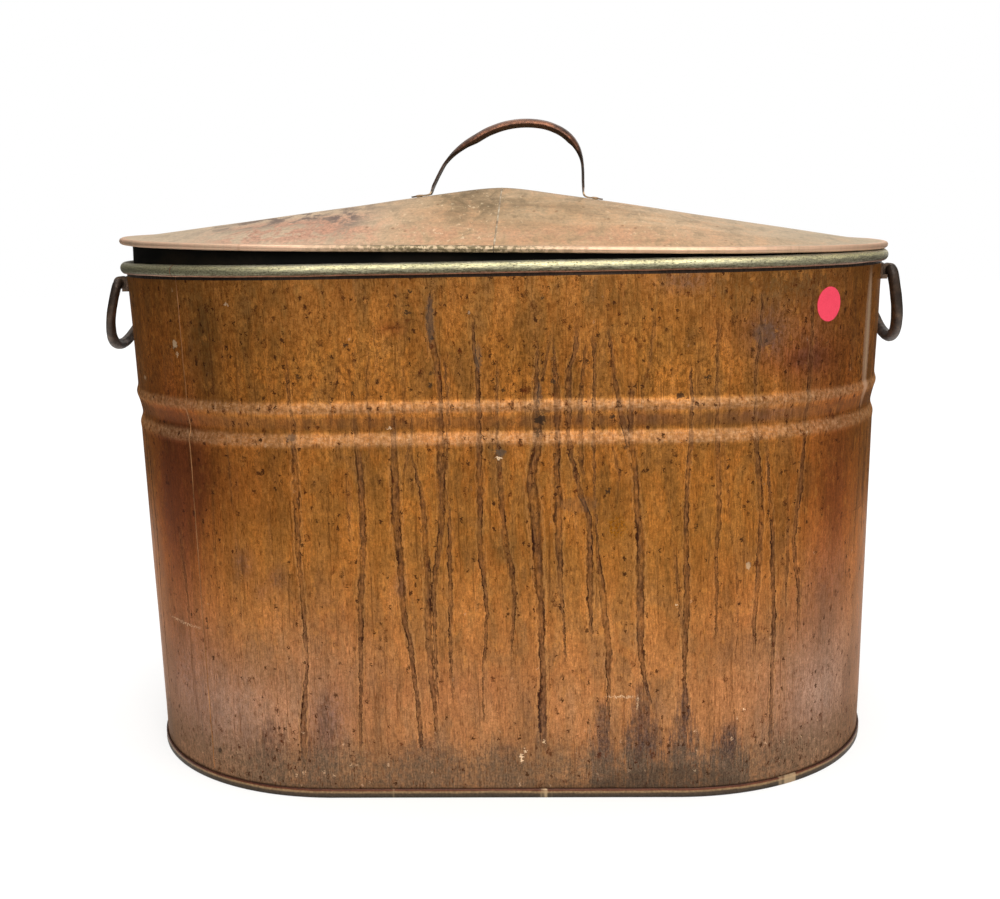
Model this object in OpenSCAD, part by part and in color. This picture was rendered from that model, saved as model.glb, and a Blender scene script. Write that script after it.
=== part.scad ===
// Oval laundry copper boiler with a lift-off pitched lid and two drop handles.
// Origin: centre of the flat bottom. +X along the long side, +Y to the back, +Z up. Millimetres.

/* [Body] */
// Overall length over the rolled rim
rim_length = 610; // [560:5:680]
// Overall width over the rolled rim
rim_width = 356; // [330:2:380]
// Height of the middle of the rolled rim above the floor
rim_z = 388.7; // [360:0.1:420]
// Thickness of the copper sheet
sheet_t = 0.7; // [0.5:0.1:1.2]
// Outer radius of the rolled rim section
roll_r = 4.6; // [4.2:0.1:5.4]
// Inward lean of the wall above the beads, per side and millimetre of height
taper_top = 0.0333; // [0:0.0001:0.05]
// Inward lean of the wall below the beads
taper_low = 0.0165; // [0:0.0001:0.04]
// Height of the upper swaged bead
bead_top_z = 293.5; // [291:0.5:305]
// Height of the step under the recess below the bead
bead_low_z = 269.6; // [256:0.1:272]
// Angle of each soldered side seam from the extreme end of the oval
seam_angle = 54; // [30:1:60]

/* [Bottom] */
// Height of the double seam that joins the bottom to the wall
seam_h = 7; // [5:0.5:10]

/* [Side handles] */
// Distance of the hinge line of each handle from the middle of the body
hinge_x = 301; // [300.5:0.1:302]
// Height of the hinge line
hinge_z = 377; // [376:0.1:378]
// Half of the distance between the two legs of a handle
bail_half = 50; // [49:0.5:54]
// Diameter of the handle rod
bail_d = 9; // [8:0.5:9.5]
// Straight length of each leg before the bow
bail_leg = 6.5; // [4:0.5:10]
// Resting angle of the left handle from straight down
lean_left = 17.5; // [12:0.5:20]
// Resting angle of the right handle from straight down
lean_right = 12; // [11:0.5:20]

/* [Lid] */
// Height of the middle of the lid edge as it sits
lid_z = 403.6; // [403.6:0.1:412]
// Tilt of the lid to the right as it sits
lid_tilt = 1.3; // [0:0.1:1.4]
// Tilt of the lid to the front as it sits
lid_tip = 0.8; // [0:0.1:0.9]
// Rise of the pitched crown above the lid edge
crown_h = 44; // [30:1:55]
// Width of the flat margin of the lid
margin_w = 14; // [12:0.5:24]
// Depth of the collar that drops inside the rim
collar_h = 22; // [16:1:26]

/* [Hidden] */
$fn = 96;

copper = [0.66, 0.42, 0.22];
copper_dark = [0.36, 0.25, 0.18];
copper_pale = [0.80, 0.66, 0.54];
tin = [0.60, 0.60, 0.54];
solder_c = [0.55, 0.54, 0.50];
steel = [0.42, 0.41, 0.39];

end_r = rim_width / 2;                 // outer radius of each round end, at the rim
cs = rim_length / 2 - end_r;           // centre of each round end from the middle
wall_r = end_r - roll_r;               // outer radius of the wall just under the rim
wire_r = roll_r - sheet_t - 0.1;       // steel rod inside the rolled rim

// outer radius of the plain wall at height z, before the beads
function plain_r(z) = z >= bead_top_z
    ? wall_r - taper_top * (rim_z - z)
    : wall_r - taper_top * (rim_z - bead_top_z) - taper_low * (bead_top_z - z);

// swaged profile of the wall: height and how far it stands out from the plain wall
swage = [
    [bead_low_z - 7.0, 0], [bead_low_z - 4.8, 0.2], [bead_low_z - 2.8, 0.45],
    [bead_low_z - 1.0, 0.2], [bead_low_z + 0.8, -0.5], [bead_low_z + 2.6, -1.2],
    [bead_low_z + 4.6, -1.75], [bead_low_z + 7.0, -1.85], [bead_low_z + 9.8, -1.45],
    [bead_top_z - 11.1, -0.85], [bead_top_z - 8.3, -0.25], [bead_top_z - 5.9, 0.4],
    [bead_top_z - 4.1, 1.0], [bead_top_z - 2.5, 1.45], [bead_top_z - 0.7, 1.5],
    [bead_top_z + 1.1, 0.95], [bead_top_z + 2.9, 0.3], [bead_top_z + 5.1, 0]];

// points of the wall line, from z0 to z1, moved outwards by d
function wall_pts(z0, z1, d) = concat(
    [[plain_r(z0) + d, z0]],
    [for (s = swage) [plain_r(s[0]) + s[1] + d, s[0]]],
    [[plain_r(z1) + d, z1]]);
function rev(v) = [for (i = [len(v) - 1 : -1 : 0]) v[i]];
function arc(cx, cy, r, a0, a1, n) =
    [for (i = [0 : n]) let (a = a0 + (a1 - a0) * i / n) [cx + r * cos(a), cy + r * sin(a)]];

neck_z = rim_z - roll_r - 1.5;         // where the wall starts to turn into the roll
hem_d = 1.0;                           // how far the folded bottom hem stands out
pan_t = 0.7;
foot_r = plain_r(0);

// closed outline of the sheet: outer face up, round the rod and back down the inner face
module sheet_outline() {
    big = roll_r;
    small = roll_r - sheet_t;
    polygon(concat(
        [[foot_r - sheet_t, pan_t + 0.05], [foot_r + hem_d, pan_t + 0.05],
            [foot_r + hem_d, seam_h - 0.8], [plain_r(seam_h - 0.8), seam_h - 0.8]],
        wall_pts(seam_h + 0.2, neck_z, 0),
        arc(wall_r, rim_z, small, -92, -414, 16),
        arc(wall_r, rim_z, big, -414, -99, 16),
        rev(wall_pts(seam_h + 0.2, neck_z, -sheet_t))));
}

// right half-turn (or part of it) of the oval, angles from +X
module end_sweep(side, a0, a1)
    translate([side * cs, 0, 0]) rotate([0, 0, a0]) rotate_extrude(angle = a1 - a0) children();
// straight side, back = +1 or front = -1
module straight_sweep(back, x0 = -cs, x1 = cs)
    mirror([0, back > 0 ? 0 : 1, 0]) translate([x0, 0, 0]) rotate([90, 0, 90])
        linear_extrude(height = x1 - x0) children();
// full ring round the oval
module ring_sweep() {
    end_sweep(1, -90, 90) children();
    end_sweep(-1, 90, 270) children();
    straight_sweep(1) children();
    straight_sweep(-1) children();
}

gap_a = 0.13;                          // half of the seam gap, in degrees
rivet_angles = [-10.2, -4.4, 4.4, 10.2];
band_t = 1.5;
band_z0 = hinge_z - 5.2;
band_z1 = hinge_z + 4.8;
rivet_z = (band_z0 + band_z1) / 2;
taper_deg = atan(taper_top);

// places a child at the wall, +X pointing out of the wall
module at_wall(side, a, z)
    translate([side * cs, 0, 0]) rotate([0, 0, a + (side > 0 ? 0 : 180)])
        translate([plain_r(z), 0, z]) rotate([0, taper_deg, 0]) children();

module rivet_holes(side)
    for (a = rivet_angles) at_wall(side, a, rivet_z)
        translate([-3, 0, 0]) rotate([0, 90, 0]) cylinder(h = 7, r = 1.95, $fn = 32);

module front_sheet() difference() {
    union() {
        mirror([1, 0, 0]) end_sweep(1, -90, -seam_angle - gap_a) sheet_outline();
        straight_sweep(-1) sheet_outline();
        end_sweep(1, -90, seam_angle - gap_a) sheet_outline();
    }
    rivet_holes(1);
}
module body_front_sheet() color(copper) front_sheet();
module body_back_sheet() color(copper) rotate([0, 0, 180]) front_sheet();

// flat strip locked over the inside of a side seam
module lock_strip() color(tin)
    end_sweep(-1, 180 + seam_angle - 2.4, 180 + seam_angle + 2.4)
        polygon(concat(
            wall_pts(seam_h + 2, neck_z - 4, -sheet_t - 0.04),
            rev(wall_pts(seam_h + 2, neck_z - 4, -sheet_t - 0.64))));
module side_lock_left() lock_strip();
module side_lock_right() rotate([0, 0, 180]) lock_strip();

// solder run in the seam gap, standing slightly proud of the wall
module seam_run() color(solder_c) {
    end_sweep(-1, 180 + seam_angle - gap_a, 180 + seam_angle + gap_a) union() {
        sheet_outline();
        polygon(concat(
            wall_pts(seam_h + 0.3, neck_z - 1, 0.3),
            rev(wall_pts(seam_h + 0.3, neck_z - 1, -sheet_t / 2))));
    }
}
module seam_solder_left() seam_run();
module seam_solder_right() rotate([0, 0, 180]) seam_run();

// flat bottom with its edge turned up and closed over the hem of the wall
skirt_r = foot_r + hem_d + 0.05;
module bottom_pan() color(copper_dark) {
    linear_extrude(height = pan_t) {
        square([2 * cs, 2 * (skirt_r + pan_t)], center = true);
        translate([cs, 0]) circle(r = skirt_r + pan_t);
        translate([-cs, 0]) circle(r = skirt_r + pan_t);
    }
    ring_sweep() polygon([[skirt_r, pan_t], [skirt_r + pan_t, pan_t], [skirt_r + pan_t, seam_h - 0.3],
        [skirt_r + pan_t - 0.4, seam_h], [plain_r(seam_h) + 0.06, seam_h],
        [plain_r(seam_h) + 0.06, seam_h - 0.75], [skirt_r, seam_h - 0.75]]);
}
// fillet of solder round the inside corner of the bottom
module bottom_solder() color(solder_c)
    ring_sweep() polygon([[foot_r - sheet_t - 0.05, pan_t + 0.03], [foot_r - sheet_t - 3.4, pan_t + 0.03],
        [foot_r - sheet_t - 2.2, pan_t + 0.9], [foot_r - sheet_t - 0.9, pan_t + 2.2],
        [foot_r - sheet_t - 0.05, pan_t + 3.6]]);

// steel rod rolled into the rim
module rim_wire() color(steel) {
    end_sweep(1, -90, 90) translate([wall_r, rim_z]) circle(r = wire_r, $fn = 48);
    end_sweep(-1, 90, 270) translate([wall_r, rim_z]) circle(r = wire_r, $fn = 48);
    straight_sweep(1) translate([wall_r, rim_z]) circle(r = wire_r, $fn = 48);
    straight_sweep(-1) translate([wall_r, rim_z]) circle(r = wire_r, $fn = 48);
}

// ---- side handles, built for the right-hand end and mirrored for the left
pin_r = 3;
bore_r = 3.08;
knuckle_r = 4.9;
ear_y0 = 35.5;
ear_y1 = 45;
tab_x = 296.8;                         // outer face of the stop tab
module ear_band() color(copper_dark) difference() {
    union() {
        translate([cs, 0, 0]) rotate([0, 0, -18]) rotate_extrude(angle = 36, $fn = 480) polygon([
            [plain_r(band_z0) + 0.03, band_z0], [plain_r(band_z0) + band_t, band_z0],
            [plain_r(band_z1) + band_t, band_z1], [plain_r(band_z1) + 0.03, band_z1]]);
        for (s = [-1, 1]) {
            translate([hinge_x, s > 0 ? ear_y0 : -ear_y1, hinge_z]) rotate([-90, 0, 0])
                cylinder(h = ear_y1 - ear_y0, r = knuckle_r, $fn = 48);
            translate([292, s > 0 ? ear_y0 : -ear_y1, band_z0 + 0.4])
                cube([hinge_x - 292 - 1, ear_y1 - ear_y0, 9.2]);
            // small tab that the leg comes to rest on
            translate([292, s > 0 ? ear_y1 + 1.2 : -53, band_z0 - 1.4]) cube([tab_x - 292, 53 - ear_y1 - 1.2, 3.2]);
        }
    }
    // the band lies on the wall, so nothing reaches inside it
    translate([cs, 0, band_z0 - 10]) cylinder(h = 30,
        r1 = plain_r(band_z0 - 10) + 0.03, r2 = plain_r(band_z0 + 20) + 0.03, $fn = 480);
    for (s = [-1, 1]) translate([hinge_x, s * (ear_y0 + ear_y1) / 2, hinge_z]) rotate([90, 0, 0])
        cylinder(h = 14, r = bore_r, center = true, $fn = 48);
    rivet_holes(1);
}
module ear_band_right() ear_band();
module ear_band_left() mirror([1, 0, 0]) ear_band();

// domed rivet along +X: head outside, peened tail inside
module rivet(grip, head_r, shank_r, tail_r) rotate([0, 90, 0]) rotate_extrude($fn = 48)
    polygon(concat(
        [[0, -grip - 1.1], [tail_r - 0.4, -grip - 1.1], [tail_r, -grip - 0.7], [tail_r, -grip],
            [shank_r, -grip], [shank_r, 0], [head_r, 0], [head_r, 0.3]],
        [for (a = [15 : 15 : 90]) [head_r * cos(a), 0.3 + 1.8 * sin(a)]]));
module ear_rivets() color(copper_dark) for (a = rivet_angles) at_wall(1, a, rivet_z)
    translate([band_t + 0.07, 0, 0]) rivet(band_t + sheet_t + 0.97, 3.4, 1.9, 3.0);
module ear_rivets_right() ear_rivets();
module ear_rivets_left() mirror([1, 0, 0]) ear_rivets();
module ear_burrs() color(copper_dark) for (a = rivet_angles) at_wall(1, a, rivet_z)
    translate([-sheet_t - 0.89, 0, 0]) rotate([0, 90, 0]) difference() {
        cylinder(h = 0.8, r = 4.0, $fn = 48);
        translate([0, 0, -1]) cylinder(h = 3, r = 1.95, $fn = 32);
    }
module ear_burrs_right() ear_burrs();
module ear_burrs_left() mirror([1, 0, 0]) ear_burrs();

// drop handle hanging from its two pins
module bail(lean) color(copper_dark)
    translate([hinge_x, 0, hinge_z]) rotate([0, -lean, 0]) union() {
        translate([0, 0, -bail_leg]) rotate([-90, 0, 90]) rotate_extrude(angle = 180)
            translate([bail_half, 0]) circle(r = bail_d / 2, $fn = 48);
        for (s = [-1, 1]) {
            translate([0, s * bail_half, -bail_leg]) cylinder(h = bail_leg, r = bail_d / 2, $fn = 48);
            translate([0, s * bail_half, 0]) rotate_extrude($fn = 48)
                intersection() { circle(r = bail_d / 2, $fn = 48); square(bail_d); }
            translate([0, s > 0 ? ear_y0 - 0.8 : -bail_half, 0]) rotate([-90, 0, 0])
                cylinder(h = bail_half - ear_y0 + 0.8, r = pin_r, $fn = 48);
        }
    }
module handle_right() bail(lean_right);
module handle_left() mirror([1, 0, 0]) bail(lean_left);

// blank round paper dot stuck on the right-hand front curve
dot_a = -51;
dot_z = 357.5;
dot_r = 12.3;
module paper_dot() color([0.93, 0.62, 0.62]) intersection() {
    end_sweep(1, dot_a - 6, dot_a + 6) polygon([
        [plain_r(dot_z - 16) + 0.02, dot_z - 16], [plain_r(dot_z - 16) + 0.27, dot_z - 16],
        [plain_r(dot_z + 16) + 0.27, dot_z + 16], [plain_r(dot_z + 16) + 0.02, dot_z + 16]]);
    translate([cs, 0, 0]) rotate([0, 0, dot_a]) translate([150, 0, dot_z]) rotate([0, 90, 0])
        cylinder(h = 40, r = dot_r, $fn = 64);
}

// ---- lid, in its own frame: z = 0 is the middle of the wired edge
lid_r = end_r - 0.5;
hem_r = 2.35;
hem_c = lid_r - hem_r;
crown_r = lid_r - margin_w;
top_z = hem_r;
function crown_z(x, y) = crown_h - (crown_h - top_z) * max(abs(y) / crown_r,
    (cs * abs(x) + 0) / (cs * (cs + crown_r)));
module lid_pose() translate([0, 0, lid_z]) rotate([lid_tip, lid_tilt, 0]) children();

// section of one lid panel, from the apex out over the margin and round the wired edge;
// r < 0 marks the two apex points
lid_section = concat(
    [[-1, crown_h], [crown_r, top_z]],
    arc(hem_c, 0, hem_r, 90, -150, 12),
    arc(hem_c, 0, hem_r - sheet_t, -150, 88, 11),
    [[crown_r, top_z - sheet_t], [-1, crown_h - sheet_t]]);
// stations round the right half of the oval: direction of the outward normal and x of its centre
half_gap = 0.3;
lid_stations = concat([[half_gap, -90]], [for (i = [0 : 60]) [cs, -90 + 3 * i]], [[half_gap, 90]]);
function lid_pt(st, p) = p[0] < 0 ? [half_gap, 0, p[1]] :
    [st[0] + p[0] * cos(st[1]), p[0] * sin(st[1]), p[1]];
module lid_half() {
    n = len(lid_section);
    m = len(lid_stations);
    pts = concat(
        [[half_gap, 0, crown_h], [half_gap, 0, crown_h - sheet_t]],
        [for (st = lid_stations) for (k = [1 : n - 2]) lid_pt(st, lid_section[k])]);
    w = n - 2;
    faces = concat(
        [for (i = [0 : m - 2]) [0, 2 + i * w, 2 + (i + 1) * w]],
        [for (i = [0 : m - 2]) [1, 2 + (i + 1) * w + w - 1, 2 + i * w + w - 1]],
        [for (i = [0 : m - 2]) for (k = [0 : w - 2])
            [2 + i * w + k, 2 + i * w + k + 1, 2 + (i + 1) * w + k + 1, 2 + (i + 1) * w + k]],
        [concat([0, 1], [for (k = [w - 1 : -1 : 0]) 2 + k])],
        [concat([1, 0], [for (k = [0 : w - 1]) 2 + (m - 1) * w + k])]);
    polyhedron(points = pts, faces = faces, convexity = 8);
}

// ---- lid handle: formed strap on a round-number route in the lid frame
foot_l = -57;
foot_rt = 65;
strap_t = 1.8;
slope = (crown_h - top_z) / (cs + crown_r);
slope_deg = atan(slope);
function roof_z(x) = crown_h - slope * abs(x);
strap_route = [
    [-73, roof_z(73) + 1.1], [-66, roof_z(66) + 1.1], [-60, roof_z(60) + 1.4], [-56.8, roof_z(57) + 4],
    [-54.6, 44.5], [-50.8, 52.5], [-45.6, 61.5], [-38.6, 70.2], [-30, 77.6], [-21, 83.2], [-11, 88.6],
    [3, 93.2], [18, 95], [33, 93.8], [45, 89.8], [54, 84], [60, 76.5], [63.4, 67.5], [64.8, 57], [65.2, 46],
    [65.5, roof_z(65) + 4.5], [68.5, roof_z(69) + 1.5], [74.5, roof_z(75) + 1.1], [81, roof_z(81) + 1.1]];
function cr(p0, p1, p2, p3, t) = 0.5 * ((2 * p1) + (p2 - p0) * t
    + (2 * p0 - 5 * p1 + 4 * p2 - p3) * t * t + (3 * p1 - p0 - 3 * p2 + p3) * t * t * t);
function route_at(u) = let (n = len(strap_route), i = min(floor(u), n - 2), t = u - i)
    cr(strap_route[max(i - 1, 0)], strap_route[i], strap_route[i + 1], strap_route[min(i + 2, n - 1)], t);
strap_steps = 2;
strap_n = (len(strap_route) - 1) * strap_steps;
function unit(v) = v / norm(v);
function tan_at(j) = unit(route_at(min(j + 0.5, strap_n) / strap_steps) - route_at(max(j - 0.5, 0) / strap_steps));
// half-width and crowning of the strap along its route
function grip_f(x, z) = z < 60 ? 0 : min(1, (z - 60) / 22);
function strap_w(x, z) = 8.2 + 3.3 * grip_f(x, z) + (z < 42 ? 1.3 * min(1, (42 - z) / 5) : 0);
function strap_c(x, z) = 0.3 * min(1, max(0, (z - 42) / 6)) + 6.4 * grip_f(x, z) * grip_f(x, z);
sec_k = [-1, -0.66, -0.33, 0, 0.33, 0.66, 1];
module strap() {
    ring = 2 * len(sec_k);
    pts = [for (j = [0 : strap_n]) let (c = route_at(j / strap_steps), t = tan_at(j), nn = [-t[1], t[0]],
            w = strap_w(c[0], c[1]), d = strap_c(c[0], c[1]))
        for (q = [0 : ring - 1]) let (k = q < len(sec_k) ? sec_k[q] : sec_k[ring - 1 - q],
            off = (q < len(sec_k) ? strap_t / 2 : -strap_t / 2) - d * k * k)
            [c[0] + nn[0] * off, w * k, c[1] + nn[1] * off]];
    faces = concat(
        [for (q = [0 : len(sec_k) - 2]) for (h = [0, 1]) h == 0
            ? [q, ring - 1 - q, q + 1] : [q + 1, ring - 1 - q, ring - 2 - q]],
        [for (q = [0 : len(sec_k) - 2]) for (h = [0, 1]) let (e = strap_n * ring) h == 0
            ? [e + q, e + q + 1, e + ring - 1 - q] : [e + q + 1, e + ring - 2 - q, e + ring - 1 - q]],
        [for (j = [0 : strap_n - 1]) for (q = [0 : ring - 1]) for (h = [0, 1]) let (q2 = (q + 1) % ring) h == 0
            ? [j * ring + q, j * ring + q2, (j + 1) * ring + q2]
            : [j * ring + q, (j + 1) * ring + q2, (j + 1) * ring + q]]);
    polyhedron(points = pts, faces = faces, convexity = 6);
}
foot_x = [-66.5, 74.8];
rivet_y = 4.6;
module at_foot(i, s) translate([foot_x[i], s * rivet_y, roof_z(foot_x[i])])
    rotate([0, foot_x[i] > 0 ? slope_deg : -slope_deg, 0]) rotate([0, -90, 0]) children();
module foot_holes() for (i = [0, 1]) for (s = [-1, 1]) at_foot(i, s)
    rotate([0, 90, 0]) translate([0, 0, -4]) cylinder(h = 9, r = 1.95, $fn = 32);

module lid_right_panel() color(copper_pale) lid_pose() difference() { lid_half(); foot_holes(); }
module lid_left_panel() color(copper_pale) lid_pose() difference() {
    rotate([0, 0, 180]) lid_half();
    foot_holes();
}
// strip under the joint of the two panels
pitch = (crown_h - top_z) / crown_r;
module lid_seam_cleat() color(tin) lid_pose() rotate([90, 0, 90]) translate([0, 0, -6])
    linear_extrude(height = 12) polygon([
        [-(crown_r - 4), crown_h - sheet_t - 0.05 - pitch * (crown_r - 4)],
        [-12, crown_h - sheet_t - 0.05 - pitch * 12], [12, crown_h - sheet_t - 0.05 - pitch * 12],
        [crown_r - 4, crown_h - sheet_t - 0.05 - pitch * (crown_r - 4)],
        [crown_r - 4, crown_h - sheet_t - 0.65 - pitch * (crown_r - 4)],
        [12, crown_h - sheet_t - 0.65 - pitch * 12], [-12, crown_h - sheet_t - 0.65 - pitch * 12],
        [-(crown_r - 4), crown_h - sheet_t - 0.65 - pitch * (crown_r - 4)]]);
// run of solder that fills the joint and stands a little proud
module lid_seam_solder() color(solder_c) lid_pose() rotate([90, 0, 90]) {
    translate([0, 0, -half_gap + 0.02]) linear_extrude(height = 2 * half_gap - 0.04) polygon([
        [-(crown_r + 6), top_z + 0.2], [-crown_r, top_z + 0.25], [0, crown_h + 0.25], [crown_r, top_z + 0.25],
        [crown_r + 6, top_z + 0.2], [crown_r + 6, top_z - sheet_t + 0.1], [crown_r, top_z - sheet_t + 0.1],
        [0, crown_h - sheet_t + 0.1], [-crown_r, top_z - sheet_t + 0.1], [-(crown_r + 6), top_z - sheet_t + 0.1]]);
    translate([0, 0, -1.1]) linear_extrude(height = 2.2) polygon([
        [-(crown_r - 2), top_z + 0.02 + pitch * 2], [-(crown_r - 2), top_z + 0.25 + pitch * 2],
        [0, crown_h + 0.25], [crown_r - 2, top_z + 0.25 + pitch * 2],
        [crown_r - 2, top_z + 0.02 + pitch * 2], [0, crown_h + 0.02]]);
}
lid_wire_r = 1.5;
module lid_hem_wire() color(steel) lid_pose() {
    end_sweep(1, -90, 90) translate([hem_c, 0]) circle(r = lid_wire_r, $fn = 32);
    end_sweep(-1, 90, 270) translate([hem_c, 0]) circle(r = lid_wire_r, $fn = 32);
    straight_sweep(1) translate([hem_c, 0]) circle(r = lid_wire_r, $fn = 32);
    straight_sweep(-1) translate([hem_c, 0]) circle(r = lid_wire_r, $fn = 32);
}
collar_r = wall_r - roll_r - 1.2;      // outer radius of the collar
module lid_collar() color(copper_dark) lid_pose() ring_sweep() polygon([
    [collar_r, -collar_h], [collar_r, top_z - sheet_t - 0.06], [crown_r + 0.6, top_z - sheet_t - 0.06],
    [crown_r + 0.6, top_z - 2 * sheet_t - 0.06], [collar_r - sheet_t, top_z - 2 * sheet_t - 0.06],
    [collar_r - sheet_t, -collar_h]]);
module lid_handle() color(copper_dark) lid_pose() difference() { strap(); foot_holes(); }
module lid_handle_rivets() color(copper_dark) lid_pose() for (i = [0, 1]) for (s = [-1, 1]) at_foot(i, s)
    translate([strap_t + 0.35, 0, 0]) rivet(strap_t + 0.35 + sheet_t + 0.95, 3.1, 1.85, 2.8);
module lid_handle_burrs() color(copper_dark) lid_pose() for (i = [0, 1]) for (s = [-1, 1]) at_foot(i, s)
    translate([-sheet_t - 0.9, 0, 0]) rotate([0, 90, 0]) difference() {
        cylinder(h = 0.75, r = 3.7, $fn = 48);
        translate([0, 0, -1]) cylinder(h = 3, r = 1.95, $fn = 32);
    }

body_front_sheet();
body_back_sheet();
side_lock_left();
side_lock_right();
seam_solder_left();
seam_solder_right();
bottom_pan();
bottom_solder();
rim_wire();
ear_band_left();
ear_band_right();
ear_rivets_left();
ear_rivets_right();
ear_burrs_left();
ear_burrs_right();
handle_left();
handle_right();
paper_dot();
lid_left_panel();
lid_right_panel();
lid_seam_cleat();
lid_seam_solder();
lid_hem_wire();
lid_collar();
lid_handle();
lid_handle_rivets();
lid_handle_burrs();
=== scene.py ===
import bpy
import math
import numpy as np
from mathutils import Matrix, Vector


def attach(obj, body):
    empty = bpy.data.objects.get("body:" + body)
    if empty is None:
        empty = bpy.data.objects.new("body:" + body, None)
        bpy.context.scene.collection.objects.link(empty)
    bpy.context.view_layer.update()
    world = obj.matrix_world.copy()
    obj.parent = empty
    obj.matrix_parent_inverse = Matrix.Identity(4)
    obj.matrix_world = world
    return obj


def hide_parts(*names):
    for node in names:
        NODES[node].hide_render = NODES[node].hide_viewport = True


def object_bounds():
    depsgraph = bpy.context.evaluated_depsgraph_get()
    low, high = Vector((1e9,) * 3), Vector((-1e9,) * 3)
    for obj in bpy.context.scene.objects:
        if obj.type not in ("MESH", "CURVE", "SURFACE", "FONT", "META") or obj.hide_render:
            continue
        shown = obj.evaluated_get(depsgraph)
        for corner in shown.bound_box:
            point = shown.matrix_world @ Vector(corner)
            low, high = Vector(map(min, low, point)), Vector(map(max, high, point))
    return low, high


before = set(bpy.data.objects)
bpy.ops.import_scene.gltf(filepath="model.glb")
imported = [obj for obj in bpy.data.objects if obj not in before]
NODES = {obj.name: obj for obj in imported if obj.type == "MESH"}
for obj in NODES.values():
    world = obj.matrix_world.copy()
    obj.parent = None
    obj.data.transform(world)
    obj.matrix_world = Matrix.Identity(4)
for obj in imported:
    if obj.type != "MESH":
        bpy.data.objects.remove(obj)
CAD_BOX = [[float(v) for v in c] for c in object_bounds()]
MM = 0.001

# brightness of the studio round the object, as it reflects in it
W_BASE, W_FRONT, W_TOP, W_STRIP, W_SKY = 0.045, 1.05, 0.35, 1.1, 0.90

# ------------------------------------------------------------------ sizes, as in the CAD source (mm)
END_R = 178.0
CS = 127.0
ROLL_R = 4.6
SHEET = 0.7
RIM_Z = 388.7
WALL_R = END_R - ROLL_R
TOP_TAPER = 0.0333
LOW_TAPER = 0.0165
BEAD_TOP = 293.5
BEAD_LOW = 269.6
SEAM_A = 54.0
SEAM_H = 7.0
PAN_T = 0.7
HEM_D = 1.0
NECK_Z = RIM_Z - ROLL_R - 1.5
R0 = 172.0
LAP = 4 * CS + 2 * math.pi * R0
HINGE_X, HINGE_Z = 301.0, 377.0
LID_Z, LID_TILT, LID_TIP = 403.6, 1.3, 0.8
CROWN_H, MARGIN_W = 44.0, 14.0
LID_R = END_R - 0.5
HEM_R = 2.35
HEM_C = LID_R - HEM_R
CROWN_R = LID_R - MARGIN_W


def smooth(a, b, x):
    t = np.clip((x - a) / (b - a), 0.0, 1.0)
    return t * t * (3 - 2 * t)


def plain_r(z):
    z = np.asarray(z, float)
    top = WALL_R - TOP_TAPER * (RIM_Z - z)
    low = WALL_R - TOP_TAPER * (RIM_Z - BEAD_TOP) - LOW_TAPER * (BEAD_TOP - z)
    return np.where(z >= BEAD_TOP, top, low)


SW_Z = [BEAD_LOW + d for d in (-7.0, -4.8, -2.8, -1.0, 0.8, 2.6, 4.6, 7.0, 9.8)] + [
    BEAD_TOP + d for d in (-11.1, -8.3, -5.9, -4.1, -2.5, -0.7, 1.1, 2.9, 5.1)]
SW_D = [0, 0.2, 0.45, 0.2, -0.5, -1.2, -1.75, -1.85, -1.45, -0.85, -0.25, 0.4, 1.0, 1.45, 1.5, 0.95, 0.3, 0]


def swage(z):
    """Beads of the wall, softened a little from the CAD's straight pieces."""
    z = np.asarray(z, float)
    out = 0
    for d, w in ((-0.8, 0.25), (0.0, 0.5), (0.8, 0.25)):
        out = out + w * np.interp(z + d, SW_Z, SW_D)
    return out


def spine(u):
    """Point on the oval's spine and outward normal, for the distance u along the wall from the middle of the front."""
    u = np.mod(np.asarray(u, float) + LAP / 2, LAP) - LAP / 2
    half = math.pi * R0
    s = np.abs(u)
    sg = np.where(u < 0, -1.0, 1.0)
    a = np.clip((s - CS) / R0, 0, math.pi)
    back = s > CS + half
    cx = np.where(s < CS, s, np.where(back, CS - (s - CS - half), CS))
    nx = np.where(s < CS, 0.0, np.where(back, 0.0, np.sin(a)))
    ny = np.where(s < CS, -1.0, np.where(back, 1.0, -np.cos(a)))
    return cx * sg, nx * sg, ny


def place(u, r, z):
    cx, nx, ny = spine(u)
    return np.stack([cx + nx * r, ny * r, np.broadcast_to(z, np.shape(cx + r))], -1)


def ang_u(a):
    """Distance u of the direction a degrees from +X on the right-hand end."""
    return CS + R0 * math.radians(a + 90)


_rng = np.random.default_rng(11)
_W = [(_rng.uniform(0, 6.28), _rng.uniform(0, 6.28), _rng.uniform(-0.5, 0.5)) for _ in range(40)]


def waves(u, z, lap, count, seed, lu, lz, amp):
    """Smooth unevenness: a few sine waves that close round the oval."""
    rng = np.random.default_rng(seed)
    out = 0
    for _ in range(count):
        k = max(1, round(lap / (lu * rng.uniform(0.6, 1.6))))
        m = 2 * math.pi / (lz * rng.uniform(0.6, 1.6)) * rng.choice([-1, 1])
        out = out + np.sin(2 * math.pi * k * u / lap + m * z + rng.uniform(0, 6.28)) * rng.uniform(0.4, 1)
    return amp * out / math.sqrt(count)


def calm(u, z):
    """0 where the ear bands lie on the wall, so that they stay on it."""
    ur = np.mod(u + LAP / 2, LAP) - LAP / 2
    mid = CS + R0 * math.pi / 2
    d = np.abs(np.abs(ur) - mid)
    near = 1 - smooth(55, 90, d)
    high = smooth(345, 362, z)
    return 1 - near * high


def dent(u, z):
    d = waves(u, z, LAP, 7, 3, 190, 420, 0.34) + waves(u, z, LAP, 8, 5, 60, 160, 0.12)
    d = d + waves(u, z, LAP, 6, 9, 23, 300, 0.035)
    d = d * smooth(4, 30, z) * (1 - 0.75 * smooth(372, 384, z))
    return d * calm(u, z)


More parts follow.
